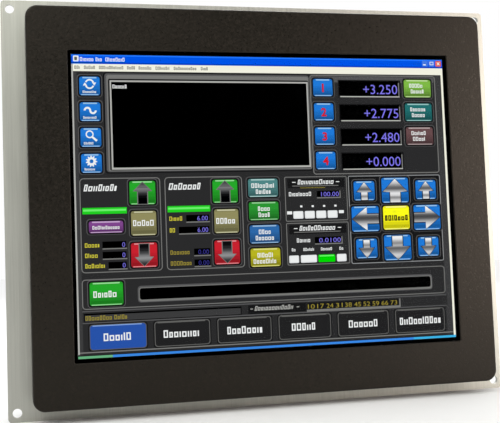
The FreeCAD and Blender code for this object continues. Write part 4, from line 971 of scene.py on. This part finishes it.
def bar_line(wide, tall, u=0.0, v=0.0):
    """Outline of a bar around a point."""
    return [(u - wide / 2, v - tall / 2), (u + wide / 2, v - tall / 2),
            (u + wide / 2, v + tall / 2), (u - wide / 2, v + tall / 2)]


# outlines of the signs, in millimetres from their middle
PLUS = [(0.3, 0.3), (1.5, 0.3), (1.5, -0.3), (0.3, -0.3), (0.3, -1.5), (-0.3, -1.5), (-0.3, -0.3),
        (-1.5, -0.3), (-1.5, 0.3), (-0.3, 0.3), (-0.3, 1.5), (0.3, 1.5)]
MINUS = bar_line(3.0, 0.6)
EARTH = [bar_line(0.4, 1.4, 0.0, 0.9), bar_line(3.0, 0.4), bar_line(1.9, 0.4, 0.0, -0.7),
         bar_line(0.8, 0.4, 0.0, -1.4)]


def add_mark(name, body, paint, spot, right, shapes, high):
    """Thin marks on a flat; shapes are outlines in millimetres, or pairs for a band."""
    middle, normal = spot
    along = (right - right.project(normal)).normalized()
    up = normal.cross(along)

    def place(u, v, level):
        return middle + (along * u + up * v + normal * level) * MM

    shape = bmesh.new()
    for outline in shapes:
        if isinstance(outline[0], list):
            hoop(shape, place, *outline, MARK_SUNK, high)
        else:
            prism(shape, place, outline, MARK_SUNK, high)
    bmesh.ops.recalc_face_normals(shape, faces=shape.faces)
    mesh = bpy.data.meshes.new(name)
    shape.to_mesh(mesh)
    shape.free()
    mesh.materials.append(paint)
    item = bpy.data.objects.new(name, mesh)
    scene.collection.objects.link(item)
    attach(item, body)


def draw_marks():
    """Plain signs: on and off on the rocker, five on the keys, poles and earth on the wall."""
    paint = moulded("mark_white", (0.62, 0.62, 0.6), (0.74, 0.74, 0.72), 2400.0).mat
    across, back, down = Vector((1.0, 0.0, 0.0)), Vector((0.0, 1.0, 0.0)), Vector((0.0, 0.0, -1.0))
    signs = (("rocker_mark_on", [bar_line(0.6, 3.2)]),
             ("rocker_mark_off", [[circle_line(1.5), circle_line(1.0)]]))
    faces = sorted(flats("switch_rocker", down)[:2], key=lambda face: face[0].x)
    for (name, shapes), face in zip(signs, faces):
        add_mark(name, "rocker", paint, face, across, shapes, ROCKER_MARK_HIGH)
    signs = ([bar_line(2.6, 0.5, 0.0, 0.9), bar_line(2.6, 0.5), bar_line(2.6, 0.5, 0.0, -0.9)],
             [MINUS], [PLUS], [[(-1.5, -1.1), (1.5, -1.1), (0.0, 1.4)]],
             [arc_band(0.0, 0.0, 1.4, 0.45, 122, 418, 24), bar_line(0.45, 1.7, 0.0, 1.0)])
    for index, shapes in enumerate(signs, start=1):
        top = max(flats(f"key_cap_{index}", back), key=lambda face: face[0].y)
        add_mark(f"key_mark_{index}", f"key_{index}", paint, top, -across, shapes,
                 KEY_MARK_HIGH)
    low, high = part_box("dc_terminal")
    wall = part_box("housing")[0].z
    for index, shapes in enumerate(([PLUS], [MINUS], EARTH)):
        at = Vector(((low.x + high.x) / 2 + (index - 1) * TERMINAL_PITCH,
                     high.y + TERMINAL_MARK_GAP, wall))
        add_mark(f"terminal_mark_{index + 1}", "panel", paint, (at, down), across,
                 shapes, WALL_MARK_HIGH)
    low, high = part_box("earth_nut")
    at = Vector(((low.x + high.x) / 2, high.y + EARTH_MARK_GAP, wall))
    add_mark("earth_mark", "panel", paint, (at, down), across, EARTH,
             WALL_MARK_HIGH)


# ---------------------------------------------------------------- stage

FLOOR_REACH = 6.0


def add_stage():
    """Plain pale floor under the plate's lower edge."""
    low, reach = cad_box[0].z, FLOOR_REACH
    mesh = bpy.data.meshes.new("floor")
    mesh.from_pydata([(-reach, -reach, low), (reach, -reach, low), (reach, reach, low),
                      (-reach, reach, low)], [], [(0, 1, 2, 3)])
    floor = bpy.data.objects.new("floor", mesh)
    scene.collection.objects.link(floor)
    finish = Finish("floor", Base_Color=(0.97, 0.97, 0.97), Specular_IOR_Level=0.2)
    finish.rough(finish.spread(finish.noise(30.0), *GRAIN_BAND, 0.7, 0.85))
    mesh.materials.append(finish.mat)


add_camera()
add_light()
add_stage()
paint_cad(make_finishes())
draw_picture()
draw_marks()

bpy.context.view_layer.update()
